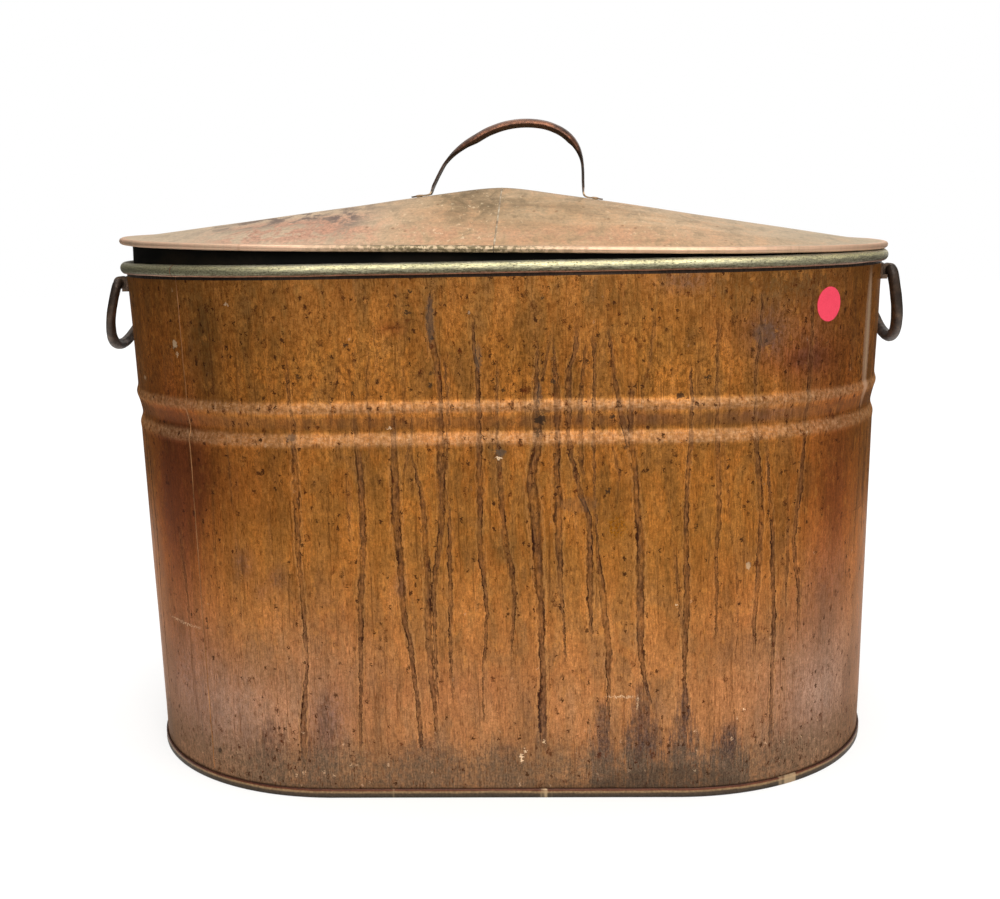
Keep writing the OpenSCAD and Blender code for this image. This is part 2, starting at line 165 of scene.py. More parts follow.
# ------------------------------------------------------------------ mesh helpers
def make(name, verts, faces, body, nodes=(), mats=(), face_mats=None, sharp=38, smooth_on=True, attrs=None):
    me = bpy.data.meshes.new(name)
    v = np.clip(np.asarray(verts, np.float64) * MM, CAD_BOX[0], CAD_BOX[1])
    me.from_pydata(v.tolist(), [], [list(map(int, f)) for f in faces])
    me.validate(clean_customdata=False)
    for k, val in (attrs or {}).items():
        val = np.asarray(val, np.float32)
        if val.ndim == 2:
            at = me.attributes.new(k, "FLOAT_VECTOR", "POINT")
            at.data.foreach_set("vector", val.ravel())
        else:
            at = me.attributes.new(k, "FLOAT", "POINT")
            at.data.foreach_set("value", val)
    for m in mats:
        me.materials.append(m)
    if face_mats is not None:
        me.polygons.foreach_set("material_index", np.asarray(face_mats, np.int32))
    if smooth_on:
        me.shade_smooth()
        if sharp:
            me.set_sharp_from_angle(angle=math.radians(sharp))
    me.update()
    ob = bpy.data.objects.new(name, me)
    bpy.context.scene.collection.objects.link(ob)
    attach(ob, body)
    if nodes:
        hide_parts(*nodes)
    return ob


def grid_faces(n, m, wrap_n=False, wrap_m=False, off=0, flip=False):
    """Quads of an n by m grid of points, index i*m+j."""
    out = []
    for i in range(n if wrap_n else n - 1):
        i2 = (i + 1) % n
        for j in range(m if wrap_m else m - 1):
            j2 = (j + 1) % m
            q = (off + i * m + j, off + i2 * m + j, off + i2 * m + j2, off + i * m + j2)
            out.append(q[::-1] if flip else q)
    return out


def grid_np(n, m, wrap_n=False, wrap_m=False, off=0):
    i = np.arange(n if wrap_n else n - 1)
    j = np.arange(m if wrap_m else m - 1)
    I, J = np.meshgrid(i, j, indexing="ij")
    I2, J2 = (I + 1) % n, (J + 1) % m
    return np.stack([I * m + J, I2 * m + J, I2 * m + J2, I * m + J2], -1).reshape(-1, 4) + off, J.ravel()


# ------------------------------------------------------------------ material helpers
class Mat:
    def __init__(self, name):
        self.m = bpy.data.materials.new(name)
        self.m.use_nodes = True
        self.t = self.m.node_tree
        self.t.nodes.clear()
        self.out = self.t.nodes.new("ShaderNodeOutputMaterial")
        self.p = self.t.nodes.new("ShaderNodeBsdfPrincipled")
        self.t.links.new(self.p.outputs["BSDF"], self.out.inputs["Surface"])

    def put(self, sock, val):
        if isinstance(val, bpy.types.NodeSocket):
            if val.type == "RGBA" and sock.type == "VECTOR":
                val = self.comb(*self.sep(val))
            self.t.links.new(val, sock)
        elif val is not None:
            if hasattr(sock.default_value, "__len__"):
                v = list(val) if hasattr(val, "__len__") else [val] * len(sock.default_value)
                if len(v) == 3 and len(sock.default_value) == 4:
                    v = v + [1.0]
                sock.default_value = v
            else:
                sock.default_value = val

    def attr(self, name):
        n = self.t.nodes.new("ShaderNodeAttribute")
        n.attribute_name = name
        return n.outputs["Vector"]

    def attrc(self, name):
        """The same attribute as a colour socket: taking that apart needs no conversion in the renderer."""
        n = self.t.nodes.new("ShaderNodeAttribute")
        n.attribute_name = name
        return n.outputs["Color"]

    def mapped(self, v, scale):
        n = self.t.nodes.new("ShaderNodeMapping")
        n.vector_type = "POINT"
        self.t.links.new(v, n.inputs["Vector"])
        n.inputs["Scale"].default_value = scale
        return n.outputs[0]

    def obj(self):
        return self.t.nodes.new("ShaderNodeTexCoord").outputs["Object"]

    def op(self, kind, a, b=None, c=None, clamp=False):
        n = self.t.nodes.new("ShaderNodeMath")
        n.operation = kind
        n.use_clamp = clamp
        self.put(n.inputs[0], a)
        self.put(n.inputs[1], b)
        self.put(n.inputs[2], c)
        return n.outputs[0]

    def vop(self, kind, a, b=None):
        n = self.t.nodes.new("ShaderNodeVectorMath")
        n.operation = kind
        self.put(n.inputs[0], a)
        if b is not None:
            self.put(n.inputs[1], b)
        return n.outputs[0]

    def sep(self, v):
        n = self.t.nodes.new("ShaderNodeSeparateColor" if v.type == "RGBA" else "ShaderNodeSeparateXYZ")
        self.put(n.inputs[0], v)
        return n.outputs[0], n.outputs[1], n.outputs[2]

    def comb(self, x=0.0, y=0.0, z=0.0):
        n = self.t.nodes.new("ShaderNodeCombineXYZ")
        self.put(n.inputs[0], x)
        self.put(n.inputs[1], y)
        self.put(n.inputs[2], z)
        return n.outputs[0]

    def noise(self, v, scale=1.0, detail=3.0, rough=0.5, dist=0.0, color=False):
        """Noise whose grain is 1/scale in the units of v. scale can be three numbers."""
        if isinstance(scale, (tuple, list)):
            v = self.mapped(v, scale)
            scale = 1.0
        n = self.t.nodes.new("ShaderNodeTexNoise")
        self.put(n.inputs["Vector"], v)
        n.inputs["Scale"].default_value = scale
        n.inputs["Detail"].default_value = detail
        n.inputs["Roughness"].default_value = rough
        n.inputs["Distortion"].default_value = dist
        return n.outputs["Color" if color else "Fac"]

    def vor(self, v, scale=1.0, rand=1.0, feature="F1"):
        if isinstance(scale, (tuple, list)):
            v = self.mapped(v, scale)
            scale = 1.0
        n = self.t.nodes.new("ShaderNodeTexVoronoi")
        n.feature = feature
        self.put(n.inputs["Vector"], v)
        n.inputs["Scale"].default_value = scale
        n.inputs["Randomness"].default_value = rand
        return n.outputs["Distance"], (n.outputs["Color"] if feature != "DISTANCE_TO_EDGE" else None)

    def ramp(self, fac, stops, interp="LINEAR"):
        n = self.t.nodes.new("ShaderNodeValToRGB")
        n.color_ramp.interpolation = interp
        e = n.color_ramp.elements
        while len(e) < len(stops):
            e.new(0.5)
        for el, (p, c) in zip(e, stops):
            el.position = p
            el.color = (c, c, c, 1) if not hasattr(c, "__len__") else tuple(c) + (1,)
        self.put(n.inputs[0], fac)
        return n.outputs[0]

    def rng(self, v, a, b, c=0.0, d=1.0, smooth_on=False):
        n = self.t.nodes.new("ShaderNodeMapRange")
        n.interpolation_type = "SMOOTHSTEP" if smooth_on else "LINEAR"
        for s, val in zip(n.inputs[:5], (v, a, b, c, d)):
            self.put(s, val)
        return n.outputs[0]

    def mix(self, fac, a, b, blend="MIX"):
        n = self.t.nodes.new("ShaderNodeMix")
        n.data_type = "RGBA"
        n.blend_type = blend
        self.put(n.inputs[0], fac)
        self.put(n.inputs[6], a)
        self.put(n.inputs[7], b)
        return n.outputs[2]

    def bump(self, h, dist=0.0002, strength=1.0, normal=None):
        n = self.t.nodes.new("ShaderNodeBump")
        n.inputs["Strength"].default_value = strength
        n.inputs["Distance"].default_value = dist
        self.put(n.inputs["Height"], h)
        if normal is not None:
            self.put(n.inputs["Normal"], normal)
        return n.outputs[0]

    def set(self, **kw):
        for k, v in kw.items():
            self.put(self.p.inputs[k.replace("_", " ")], v)
        return self.m


def srgb(r, g, b):
    return tuple(((c / 255 + 0.055) / 1.055) ** 2.4 if c > 10 else c / 255 / 12.92 for c in (r, g, b))


# ------------------------------------------------------------------ drips on the wall
# channel, strength and line of (u, z, half width), in mm from the middle of the front and from the floor
DRIPS = [
    ("A", 0.45, [(-198, 267, 0.5), (-197, 251, 0.6), (-197, 232, 0.6), (-197, 221, 0.5)]),
    ("A", 0.95, [(-145, 327, 0.6), (-146, 313, 0.9), (-145, 299, 1), (-144, 285, 1.2), (-144, 271, 1.6), (-144, 249, 2), (-144, 227, 2.1), (-145, 198, 2), (-145, 183, 1.5), (-144, 164, 1.5), (-143, 145, 1.5), (-143, 123, 1.5), (-143, 103, 1.2), (-145, 84, 1.7), (-148, 61, 2.1), (-149, 37, 2), (-150, 25, 1)]),
    ("A", 0.75, [(-100, 288, 0.6), (-99, 270, 2), (-98, 256, 2.4), (-97, 241, 2), (-97, 227, 2), (-97, 198, 2), (-99, 175, 2), (-101, 153, 2), (-102, 123, 1.6), (-104, 76, 1.2), (-106, 29, 1), (-106, 17, 0.5)]),
    ("B", 0.4, [(-108, 245, 0.5), (-108, 227, 0.5), (-107, 201, 0.5)]),
    ("A", 0.9, [(-74, 298, 0.6), (-73, 288, 1.1), (-73, 270, 1.6), (-73, 248, 2.4), (-73, 227, 2.7), (-73, 205, 2.8), (-71, 183, 2.2), (-71, 153, 2), (-69, 134, 2), (-66, 119, 1.7), (-64, 92, 1.5), (-62, 72, 1.5), (-61, 45, 1.4), (-60, 37, 0.5)]),
    ("B", 0.5, [(-58, 295, 0.6), (-60, 277, 0.7), (-63, 259, 1), (-67, 245, 0.7)]),
    ("C", 0.75, [(-60, 259, 0.6), (-58, 248, 1), (-55, 234, 1.5), (-53, 212, 1.7), (-53, 193, 2), (-52, 175, 2), (-52, 152, 2.4), (-53, 134, 2.3), (-52, 107, 2), (-51, 84, 1.9), (-49, 65, 1.5), (-49, 49, 1)]),
    ("A", 0.75, [(-43, 374, 1), (-45, 354, 1.6), (-43, 333, 2.3), (-40, 315, 1.6), (-39, 298, 1.3), (-40, 269, 2.2), (-40, 255, 3.1), (-40, 226, 2.1), (-42, 197, 2), (-45, 182, 1.6), (-48, 160, 1.5), (-48, 122, 1.2), (-48, 92, 1), (-47, 72, 0.6)]),
    ("B", 0.7, [(-36, 326, 0.5), (-35, 312, 0.7), (-34, 294, 1), (-34, 280, 0.6), (-38, 237, 0.5), (-36, 226, 0.7), (-35, 212, 1.1), (-36, 182, 1.5), (-36, 152, 1.4), (-37, 122, 1.1), (-37, 92, 1), (-36, 76, 0.6)]),
    ("A", 0.78, [(-15, 353, 1.2), (-15, 333, 1.2), (-13, 319, 1.2), (-13, 297, 1.6), (-13, 269, 1.6), (-13, 248, 2), (-13, 226, 1.7), (-14, 197, 1.7), (-13, 182, 2), (-11, 160, 1.5), (-10, 141, 1.1), (-12, 114, 1), (-14, 91, 0.7), (-14, 60, 0.5)]),
    ("B", 0.68, [(1, 325, 0.5), (0, 297, 0.6), (0, 269, 1), (1, 247, 1.6), (2, 226, 2), (3, 211, 1.5), (4, 193, 2), (8, 178, 2), (10, 159, 1.5), (9, 137, 1.1), (7, 114, 0.6), (6, 91, 0.5)]),
    ("A", 1.0, [(29, 335, 0.7), (28, 314, 1.5), (27, 297, 1.6), (28, 283, 2.7), (28, 265, 2.7), (25, 251, 2.7), (23, 240, 3.4), (25, 218, 3.5), (27, 196, 3.4), (27, 174, 2.7), (29, 152, 2.3), (29, 122, 2), (30, 91, 2), (29, 72, 3), (29, 43, 2)]),
    ("B", 0.6, [(38, 342, 0.6), (35, 325, 1.1), (31, 311, 1.1), (29, 300, 0.6)]),
    ("C", 0.8, [(40, 335, 0.6), (41, 314, 1.5), (42, 297, 2.2), (42, 268, 1.8), (41, 247, 2), (42, 225, 3), (42, 196, 2.2), (43, 181, 2), (43, 159, 1.2), (45, 137, 1), (46, 106, 0.6)]),
    ("A", 0.78, [(56, 349, 1.2), (55, 331, 1.5), (50, 318, 1.5), (50, 304, 1.5), (50, 275, 1.2), (51, 258, 1.6), (54, 247, 1.2), (59, 225, 1.6), (64, 211, 1.6), (64, 181, 2), (64, 152, 2), (65, 121, 0.6)]),
    ("B", 0.62, [(62, 335, 0.6), (61, 321, 1.1), (59, 307, 1.1), (58, 289, 1.5), (58, 268, 1.5), (58, 254, 1.5), (60, 240, 0.6)]),
    ("C", 0.72, [(67, 345, 1.1), (68, 324, 1.1), (68, 303, 1), (67, 268, 1), (68, 225, 0.5), (69, 203, 0.6), (70, 181, 1.5), (73, 159, 2), (74, 144, 2), (77, 121, 2.2), (77, 91, 1.2), (77, 60, 1)]),
    ("B", 0.7, [(77, 350, 0.6), (79, 335, 1.1), (81, 321, 1.2), (83, 303, 1.6), (86, 289, 1.6), (89, 275, 1.8), (91, 264, 1)]),
    ("A", 0.9, [(94, 307, 1.5), (93, 289, 1.8), (93, 268, 1.8), (96, 250, 1.8), (97, 225, 2), (100, 196, 2.6), (100, 166, 2.6), (100, 136, 2.6), (100, 114, 2), (103, 91, 1.5), (107, 75, 1)]),
    ("C", 0.5, [(109, 355, 1), (108, 338, 1), (105, 320, 1), (101, 303, 1.1), (101, 282, 0.6)]),
    ("C", 0.5, [(80, 264, 0.6), (83, 254, 1), (85, 243, 0.7), (83, 225, 0.5)]),
    ("A", 0.78, [(134, 323, 0.5), (135, 295, 1.1), (135, 267, 1.2), (133, 246, 1.2), (132, 217, 1.5), (132, 195, 1.6), (133, 166, 2), (133, 143, 2), (132, 121, 2), (132, 91, 1), (133, 75, 2.2), (133, 52, 2)]),
    ("B", 0.5, [(122, 195, 0.6), (125, 177, 1.1), (128, 151, 1.1), (130, 129, 1)]),
    ("C", 0.35, [(117, 239, 0.5), (121, 217, 0.6), (124, 195, 0.6)]),
    ("B", 0.58, [(153, 350, 1.1), (153, 295, 1.1), (154, 267, 1.5), (155, 238, 1.5), (156, 209, 1.5), (154, 187, 1.1), (155, 158, 1), (155, 120, 0.8)]),
    ("A", 0.42, [(157, 274, 0.6), (161, 238, 0.7), (165, 201, 0.8), (169, 179, 0.8), (172, 149, 0.8), (172, 119, 0.5), (170, 104, 0.5)]),
    ("B", 0.72, [(185, 370, 0.8), (184, 336, 1.1), (181, 315, 1.1), (182, 287, 1.1), (183, 265, 1.6), (186, 236, 2), (189, 207, 2), (188, 185, 2), (187, 162, 1.6), (185, 133, 1.6), (186, 110, 1.3)]),
    ("A", 0.82, [(191, 265, 0.8), (194, 235, 0.9), (197, 213, 1.3), (199, 191, 1.7), (200, 161, 1.7), (202, 130, 1.8), (202, 100, 1.4), (202, 69, 1.4), (202, 37, 1.4)]),
    ("B", 0.66, [(227, 368, 1), (228, 340, 1.2), (228, 319, 1.5), (227, 290, 1.6), (226, 269, 1.1), (224, 247, 1.6), (223, 225, 2.2), (220, 211, 1.6), (218, 189, 1.6), (220, 173, 1.6), (225, 150, 1.5), (226, 111, 1)]),
    ("C", 0.45, [(211, 241, 0.6), (212, 204, 0.9), (213, 174, 1.4), (212, 152, 1), (213, 129, 0.8)]),
    ("A", 0.45, [(277, 337, 1.5), (279, 307, 1.5)]),
    ("B", 0.3, [(-214, 223, 0.8), (-216, 201, 0.8), (-216, 178, 0.8)]),
    ("A", 0.45, [(-257, 195, 1.4), (-256, 172, 1.3), (-253, 141, 1.3), (-254, 109, 1), (-255, 88, 0.9)]),
    ("B", 0.5, [(-88, 334, 0.6), (-89, 316, 1.1), (-91, 299, 0.7), (-89, 284, 0.7), (-91, 256, 0.5)]),
    ("C", 0.5, [(-118, 306, 0.7), (-116, 292, 0.7), (-116, 281, 0.5)]),
    ("B", 0.5, [(-110, 323, 1.5), (-111, 316, 1.5), (-113, 307, 1)]),
    ("C", 0.4, [(-64, 326, 0.6), (-65, 298, 1), (-65, 280, 0.6)]),
    ("S", 0.9, [(73, 76, 3), (73, 52, 6), (73, 5, 10)]),
    ("S", 0.95, [(100, 90, 3.5), (101, 60, 9), (100, 29, 14), (100, 1, 19)]),
    ("S", 0.9, [(132, 86, 2.5), (132, 52, 7), (131, 29, 12), (131, 1, 18)]),
    ("S", 0.95, [(166, 56, 5.5), (166, 27, 14), (167, 1, 24)]),
    ("S", 0.6, [(-130, 84, 4), (-132, 53, 8), (-136, 5, 15)]),
    ("S", 0.55, [(-174, 63, 5), (-177, 34, 12), (-183, 2, 20)]),
    ("S", 0.45, [(-54, 49, 11), (-55, 29, 19), (-55, 4, 32)]),
    ("S", 0.45, [(29, 76, 2.5), (29, 41, 4)]),
    ("S", 0.4, [(1, 45, 8), (0, 4, 20)]),
    ("S", 0.4, [(206, 53, 6), (206, 2, 20)]),
]
# more of the same on the parts of the wall that the photo doesn't show
_r = np.random.default_rng(77)
_u = 300.0
while _u < LAP - 300:
    z1 = _r.uniform(180, 372)
    z0 = max(14, z1 - _r.uniform(60, 260))
    n = int((z1 - z0) / 28) + 3
    zs = np.linspace(z1, z0, n)
    us = _u + np.cumsum(_r.normal(0, 1.2, n))
    wmax = _r.choice([0.9, 1.4, 2.0, 2.7], p=[0.3, 0.35, 0.25, 0.1])
    ws = wmax * (0.35 + 0.65 * np.sin(np.linspace(0.25, 2.9, n))) * _r.uniform(0.85, 1.15, n)
    DRIPS.append((str(_r.choice(["A", "B", "C"])), float(_r.uniform(0.35, 0.9)),
                  [(float(a), float(b), float(c)) for a, b, c in zip(us, zs, ws)]))
    if _r.random() < 0.16:
        DRIPS.append(("S", float(_r.uniform(0.3, 0.8)), [(_u, _r.uniform(45, 95), 4), (_u, 40, 10), (_u, 1, 20)]))
    _u += _r.uniform(9, 27)


def drip_field(chan, u, z):
    """Per point: signed distance to the nearest drip's middle (it never jumps sign between two drips),
    that drip's half width and its strength, which fades to nothing past its ends."""
    ds = sorted([d for d in DRIPS if d[0] == chan], key=lambda d: np.mean([p[0] for p in d[2]]))
    best = np.full(u.shape, 1e9)
    s_out, w_out, k_out = np.full(u.shape, 40.0), np.ones(u.shape), np.zeros(u.shape)
    for i, (_, strength, pts) in enumerate(ds):
        p = sorted(pts, key=lambda q: q[1])
        pz = [q[1] for q in p]
        c = np.interp(z, pz, [q[0] for q in p])
        w = np.interp(z, pz, [q[2] for q in p])
        fade = smooth(pz[0] - 6, pz[0] + 5, z) * (1 - smooth(pz[-1] - 8, pz[-1] + 6, z))
        s = np.mod(u - c + LAP / 2, LAP) - LAP / 2
        # a drip that has ended doesn't hide its neighbours
        reach = np.abs(s) + (1 - fade) * 14
        m = reach < best
        best = np.where(m, reach, best)
        s_out = np.where(m, np.clip(s, -40, 40) * (1 if i % 2 else -1), s_out)
        w_out = np.where(m, w, w_out)
        k_out = np.where(m, strength * fade, k_out)
    return np.stack([s_out, w_out, k_out], -1)


# soft patches of tint: u, z, half sizes, amount. g greenish dark, v violet grey, r red brown, p pale haze that is a
# painted reflection low on the ends, y golden
BLOBS = {
    "g": [(-214, 335, 14, 40, 0.9), (-45, 345, 8, 26, 0.7), (3, 195, 12, 12, 0.8), (-13, 335, 7, 25, 0.6),
          (60, 345, 40, 22, 0.35), (145, 350, 22, 30, 0.4), (205, 372, 45, 14, 0.7), (-150, 350, 40, 16, 0.5),
          (0, 262, 8, 5, 1.0), (30, 283, 7, 6, 1.0), (-5, 25, 60, 20, 0.5), (78, 206, 40, 16, 0.2)],
    "v": [(-275, 75, 45, 60, 0.9), (262, 150, 34, 34, 0.5), (252, 345, 40, 40, 0.15), (190, 340, 16, 18, 1.0), (130, 378, 18, 8, 0.7), (-190, 178, 9, 12, 0.7), (-163, 168, 7, 8, 0.7),
          (-176, 157, 6, 6, 0.5), (-72, 163, 4, 8, 0.9), (-128, 60, 16, 26, 0.8), (190, 283, 30, 6, 0.8),
          (107, 283, 18, 5, 0.5), (-205, 60, 40, 40, 0.5), (232, 70, 34, 45, 0.4), (225, 330, 22, 30, 0.35)],
    "r": [(-262, 200, 50, 150, 0.9), (-235, 250, 40, 60, 0.4), (262, 215, 46, 130, 0.85), (236, 340, 50, 50, 0.3),
          (215, 320, 30, 12, 0.5), (-180, 240, 40, 40, 0.35), (-120, 120, 40, 60, 0.2), (160, 345, 20, 12, 0.3),
          (-72, 348, 9, 5, 0.8), (170, 130, 30, 60, 0.3), (-30, 86, 60, 20, 0.35)],
    # p is a painted reflection: a pale grey sheen low on the two ends
    "p": [(-295, 40, 50, 50, 0.55), (-215, 55, 60, 45, 0.65), (268, 62, 62, 62, 1.15), (-140, 95, 40, 50, 0.25)],
    "y": [(-200, 220, 55, 85, 0.9), (200, 282, 60, 12, 0.5), (10, 330, 30, 25, 0.7), (115, 330, 30, 40, 0.6), (-80, 190, 40, 80, 0.35), (130, 200, 50, 70, 0.5),
          (-100, 330, 60, 30, 0.4), (60, 170, 50, 50, 0.4)],
}


# single marks on the wall: u, z, half width, half height, colour, strength
PALE, BLOT, RUST, GREY = (236, 206, 168), (50, 40, 32), (84, 34, 14), (96, 84, 72)
MARKS = [
    (-60, 359, 2.5, 1.2, BLOT, 0.9), (-59, 354, 3.5, 0.8, RUST, 0.6), (-44, 341, 1.4, 1.5, BLOT, 0.95), (-104, 337, 2.1, 1.6, BLOT, 0.8),
    (-25, 332, 1.8, 1.9, RUST, 0.85), (-29, 337, 1.1, 1.2, RUST, 0.8), (-45, 317, 1.7, 1.7, BLOT, 0.7), (-100, 303, 1.4, 1.3, BLOT, 0.8),
    (-39, 314, 1.1, 1.8, RUST, 0.7), (-73, 364, 1.2, 0.8, BLOT, 0.8), (-138, 315, 1.7, 1.8, BLOT, 0.7), (-58, 373, 1.5, 1.4, BLOT, 0.85),
    (80, 284, 1.9, 2.1, BLOT, 0.85), (5, 304, 1.4, 1.5, BLOT, 0.8), (77, 231, 2.0, 1.9, BLOT, 0.85), (78, 233, 1.5, 0.9, BLOT, 0.6),
    (54, 232, 1.5, 1.9, RUST, 0.85), (93, 199, 1.3, 1.3, RUST, 0.8), (60, 202, 0.7, 3.1, RUST, 0.8), (49, 206, 0.8, 1.9, RUST, 0.75),
    (30, 283, 4.5, 3.9, BLOT, 0.85), (28, 274, 1.5, 4.3, BLOT, 0.7), (33, 289, 6.3, 1.6, BLOT, 0.5), (146, 311, 3.0, 1.7, BLOT, 0.85),
    (127, 299, 3.1, 2.4, BLOT, 0.8), (21, 304, 3.5, 3.2, RUST, 0.65), (99, 334, 2.2, 2.2, RUST, 0.5), (105, 313, 2.7, 2.1, RUST, 0.55),
    (1, 256, 3.5, 0.9, PALE, 1), (2, 260, 4.2, 2.6, GREY, 0.75), (-76, 278, 2.3, 0.7, PALE, 0.95), (13, 31, 1.3, 3.9, PALE, 0.85),
    (16, 36, 1.0, 1.6, PALE, 0.8), (30, 43, 1.2, 0.9, PALE, 0.9), (179, 174, 2.1, 3.4, PALE, 0.5), (126, 147, 0.9, 0.9, PALE, 0.9),
    (179, 65, 1.0, 1.2, PALE, 0.95), (140, 20, 1.4, 0.8, PALE, 0.8), (-243, 336, 2.9, 3.2, PALE, 0.8), (-241, 329, 1.4, 1.9, PALE, 0.7),
    (-189, 366, 2.2, 0.7, PALE, 0.7), (-300, 307, 3.4, 1.7, PALE, 0.7), (85, 78, 13.0, 0.5, PALE, 0.55), (98, 74, 0.6, 6.2, PALE, 0.4),
    (-264, 121, 27.1, 0.6, PALE, 0.45), (-45, 354, 3.4, 17.9, GREY, 0.4), (-12, 327, 2.8, 11.1, GREY, 0.4), (-146, 272, 3.7, 2.9, GREY, 0.5),
    (30, 300, 2.1, 9.9, GREY, 0.35), (187, 339, 9.4, 9.7, GREY, 0.35), (57, 222, 15.5, 6.5, GREY, 0.22),
    (122, 6, 62, 20, BLOT, 0.40), (50, 3, 44, 12, BLOT, 0.30), (-118, 3, 60, 12, BLOT, 0.22),
    # the last two marks are a painted highlight: a pale vertical streak near the right-hand edge
    (304.5, 330, 7.5, 56, (204, 164, 134), 0.85), (305.5, 335, 3.2, 44, PALE, 0.6),
]


def blobs(kind, u, z):
    t = 0
    for (bu, bz, ru, rz, a) in BLOBS[kind]:
        for off in (0, LAP / 2):
            uu = np.mod(u - bu - off + LAP / 2, LAP) - LAP / 2
            t = t + a * (1 if off == 0 else 0.8) * np.exp(-((uu / ru) ** 2 + ((z - bz) / rz) ** 2))
    return np.clip(t, 0, 1.2)


# ------------------------------------------------------------------ materials
def wall_copper():
    M = Mat("copper wall patina")
    w = M.attr("wuv")
    u, z, _ = M.sep(M.attrc("wuv"))
    wob = M.op("MULTIPLY", M.op("SUBTRACT", M.noise(w, (0.05, 0.02, 1), 3, 0.6), 0.5), 3.5)
    ww = M.comb(M.op("ADD", u, wob), z, 0.0)
    # ragged coordinates for specks and stains
    uj = M.op("ADD", u, M.op("MULTIPLY", M.op("SUBTRACT", M.noise(w, 0.62, 2, 0.6), 0.5), 6.0))
    zj = M.op("ADD", z, M.op("MULTIPLY", M.op("SUBTRACT", M.noise(w, 0.50, 2, 0.6), 0.5), 8.0))
    wj = M.comb(uj, zj, 0.0)
    g, v, r = M.sep(M.attrc("tint"))
    p, y, bead = M.sep(M.attrc("tint2"))
    fiber = M.noise(ww, (0.90, 0.11, 1), 4, 0.75)
    streak = M.noise(ww, (0.13, 0.011, 1), 6, 0.70)
    hue = M.noise(ww, (0.06, 0.022, 1), 4, 0.6, 0.5)
    cloud = M.noise(w, (0.026, 0.02, 1), 3, 0.5)
    mott = M.noise(w, (0.30, 0.22, 1), 6, 0.74)
    fine = M.noise(w, (0.80, 0.62, 1), 3, 0.75)
    base = M.ramp(hue, [(0.34, srgb(156, 106, 54)), (0.46, srgb(174, 116, 54)), (0.56, srgb(184, 116, 50)), (0.68, srgb(200, 132, 64))])
    base = M.mix(M.op("MULTIPLY", y, 0.5, clamp=True), base, srgb(198, 132, 56))
    base = M.mix(M.op("MULTIPLY", r, M.rng(streak, 0.25, 0.7, 0.6, 1.0), clamp=True), base, srgb(152, 76, 34))
    base = M.mix(M.rng(r, 0.62, 1.0, 0.0, 0.75, True), base, srgb(92, 48, 28))
    # greyer and paler towards the bottom
    low = M.rng(z, 30, 215, 1.0, 0.0, True)
    base = M.mix(M.op("MULTIPLY", low, 0.50), base, srgb(150, 114, 90))
    # olive tarnish, stronger near the top
    top = M.rng(z, 330, 384, 0.0, 0.55, True)
    gg = M.op("MULTIPLY", M.op("ADD", g, top), M.rng(mott, 0.38, 0.60, 0.15, 1.0), clamp=True)
    base = M.mix(M.op("MULTIPLY", gg, 0.62), base, srgb(96, 80, 50))
    base = M.mix(M.op("MULTIPLY", v, M.rng(mott, 0.36, 0.62, 0.2, 0.9), clamp=True), base, srgb(104, 80, 76))
    # painted reflection: a pale grey sheen where p lies, low on the ends
    base = M.mix(M.op("MULTIPLY", p, 0.7, clamp=True), base, srgb(152, 128, 114))
    calm = M.rng(M.op("ADD", M.op("ADD", p, r), low), 0.3, 1.2, 1.0, 0.1, True)
    # light and dark: cloud, streak, mottle, grain
    base = M.mix(1.0, base, M.ramp(cloud, [(0.36, 0.84), (0.64, 1.15)]), "MULTIPLY")
    base = M.mix(1.0, base, M.ramp(streak, [(0.36, 0.76), (0.5, 1.0), (0.64, 1.13)]), "MULTIPLY")
    base = M.mix(1.0, base, M.ramp(fiber, [(0.36, 0.66), (0.48, 0.98), (0.64, 1.18)]), "MULTIPLY")
    busy = M.op("MAXIMUM", M.rng(z, 230, 320, 0.55, 1.0, True), M.rng(z, 20, 85, 1.0, 0.0, True))
    base = M.mix(busy, base, M.mix(1.0, base, M.ramp(mott, [(0.38, 0.62), (0.46, 0.94), (0.56, 1.04), (0.66, 1.16)]), "MULTIPLY"))
    base = M.mix(1.0, base, M.ramp(fine, [(0.36, 0.80), (0.5, 1.0), (0.64, 1.20)]), "MULTIPLY")
    # fine dark outlines of dried patches
    worm = M.rng(M.op("ABSOLUTE", M.op("SUBTRACT", mott, 0.458)), 0.006, 0.021, 1.0, 0.0, True)
    base = M.mix(M.op("MULTIPLY", M.op("MULTIPLY", worm, busy), M.rng(cloud, 0.35, 0.6, 0.45, 0.85)), base, srgb(88, 46, 20))
    wor2 = M.rng(M.op("ABSOLUTE", M.op("SUBTRACT", fiber, 0.455)), 0.004, 0.016, 1.0, 0.0, True)
    base = M.mix(M.op("MULTIPLY", wor2, 0.24), base, srgb(100, 58, 26))
    # small warm flecks of cleaner metal
    fl = M.noise(wj, (0.16, 0.08, 1), 4, 0.65)
    base = M.mix(M.op("MULTIPLY", M.rng(fl, 0.56, 0.66, 0.0, 0.5, True), calm), base, srgb(212, 142, 70))
    # thin random runs
    thin = M.noise(ww, (0.36, 0.008, 1), 3, 0.6)
    tm = M.op("MULTIPLY", M.rng(thin, 0.61, 0.65, 0.0, 1.0, True), M.rng(mott, 0.42, 0.54, 0.1, 1.0))
    base = M.mix(M.op("MULTIPLY", tm, 0.62), base, srgb(88, 50, 24))
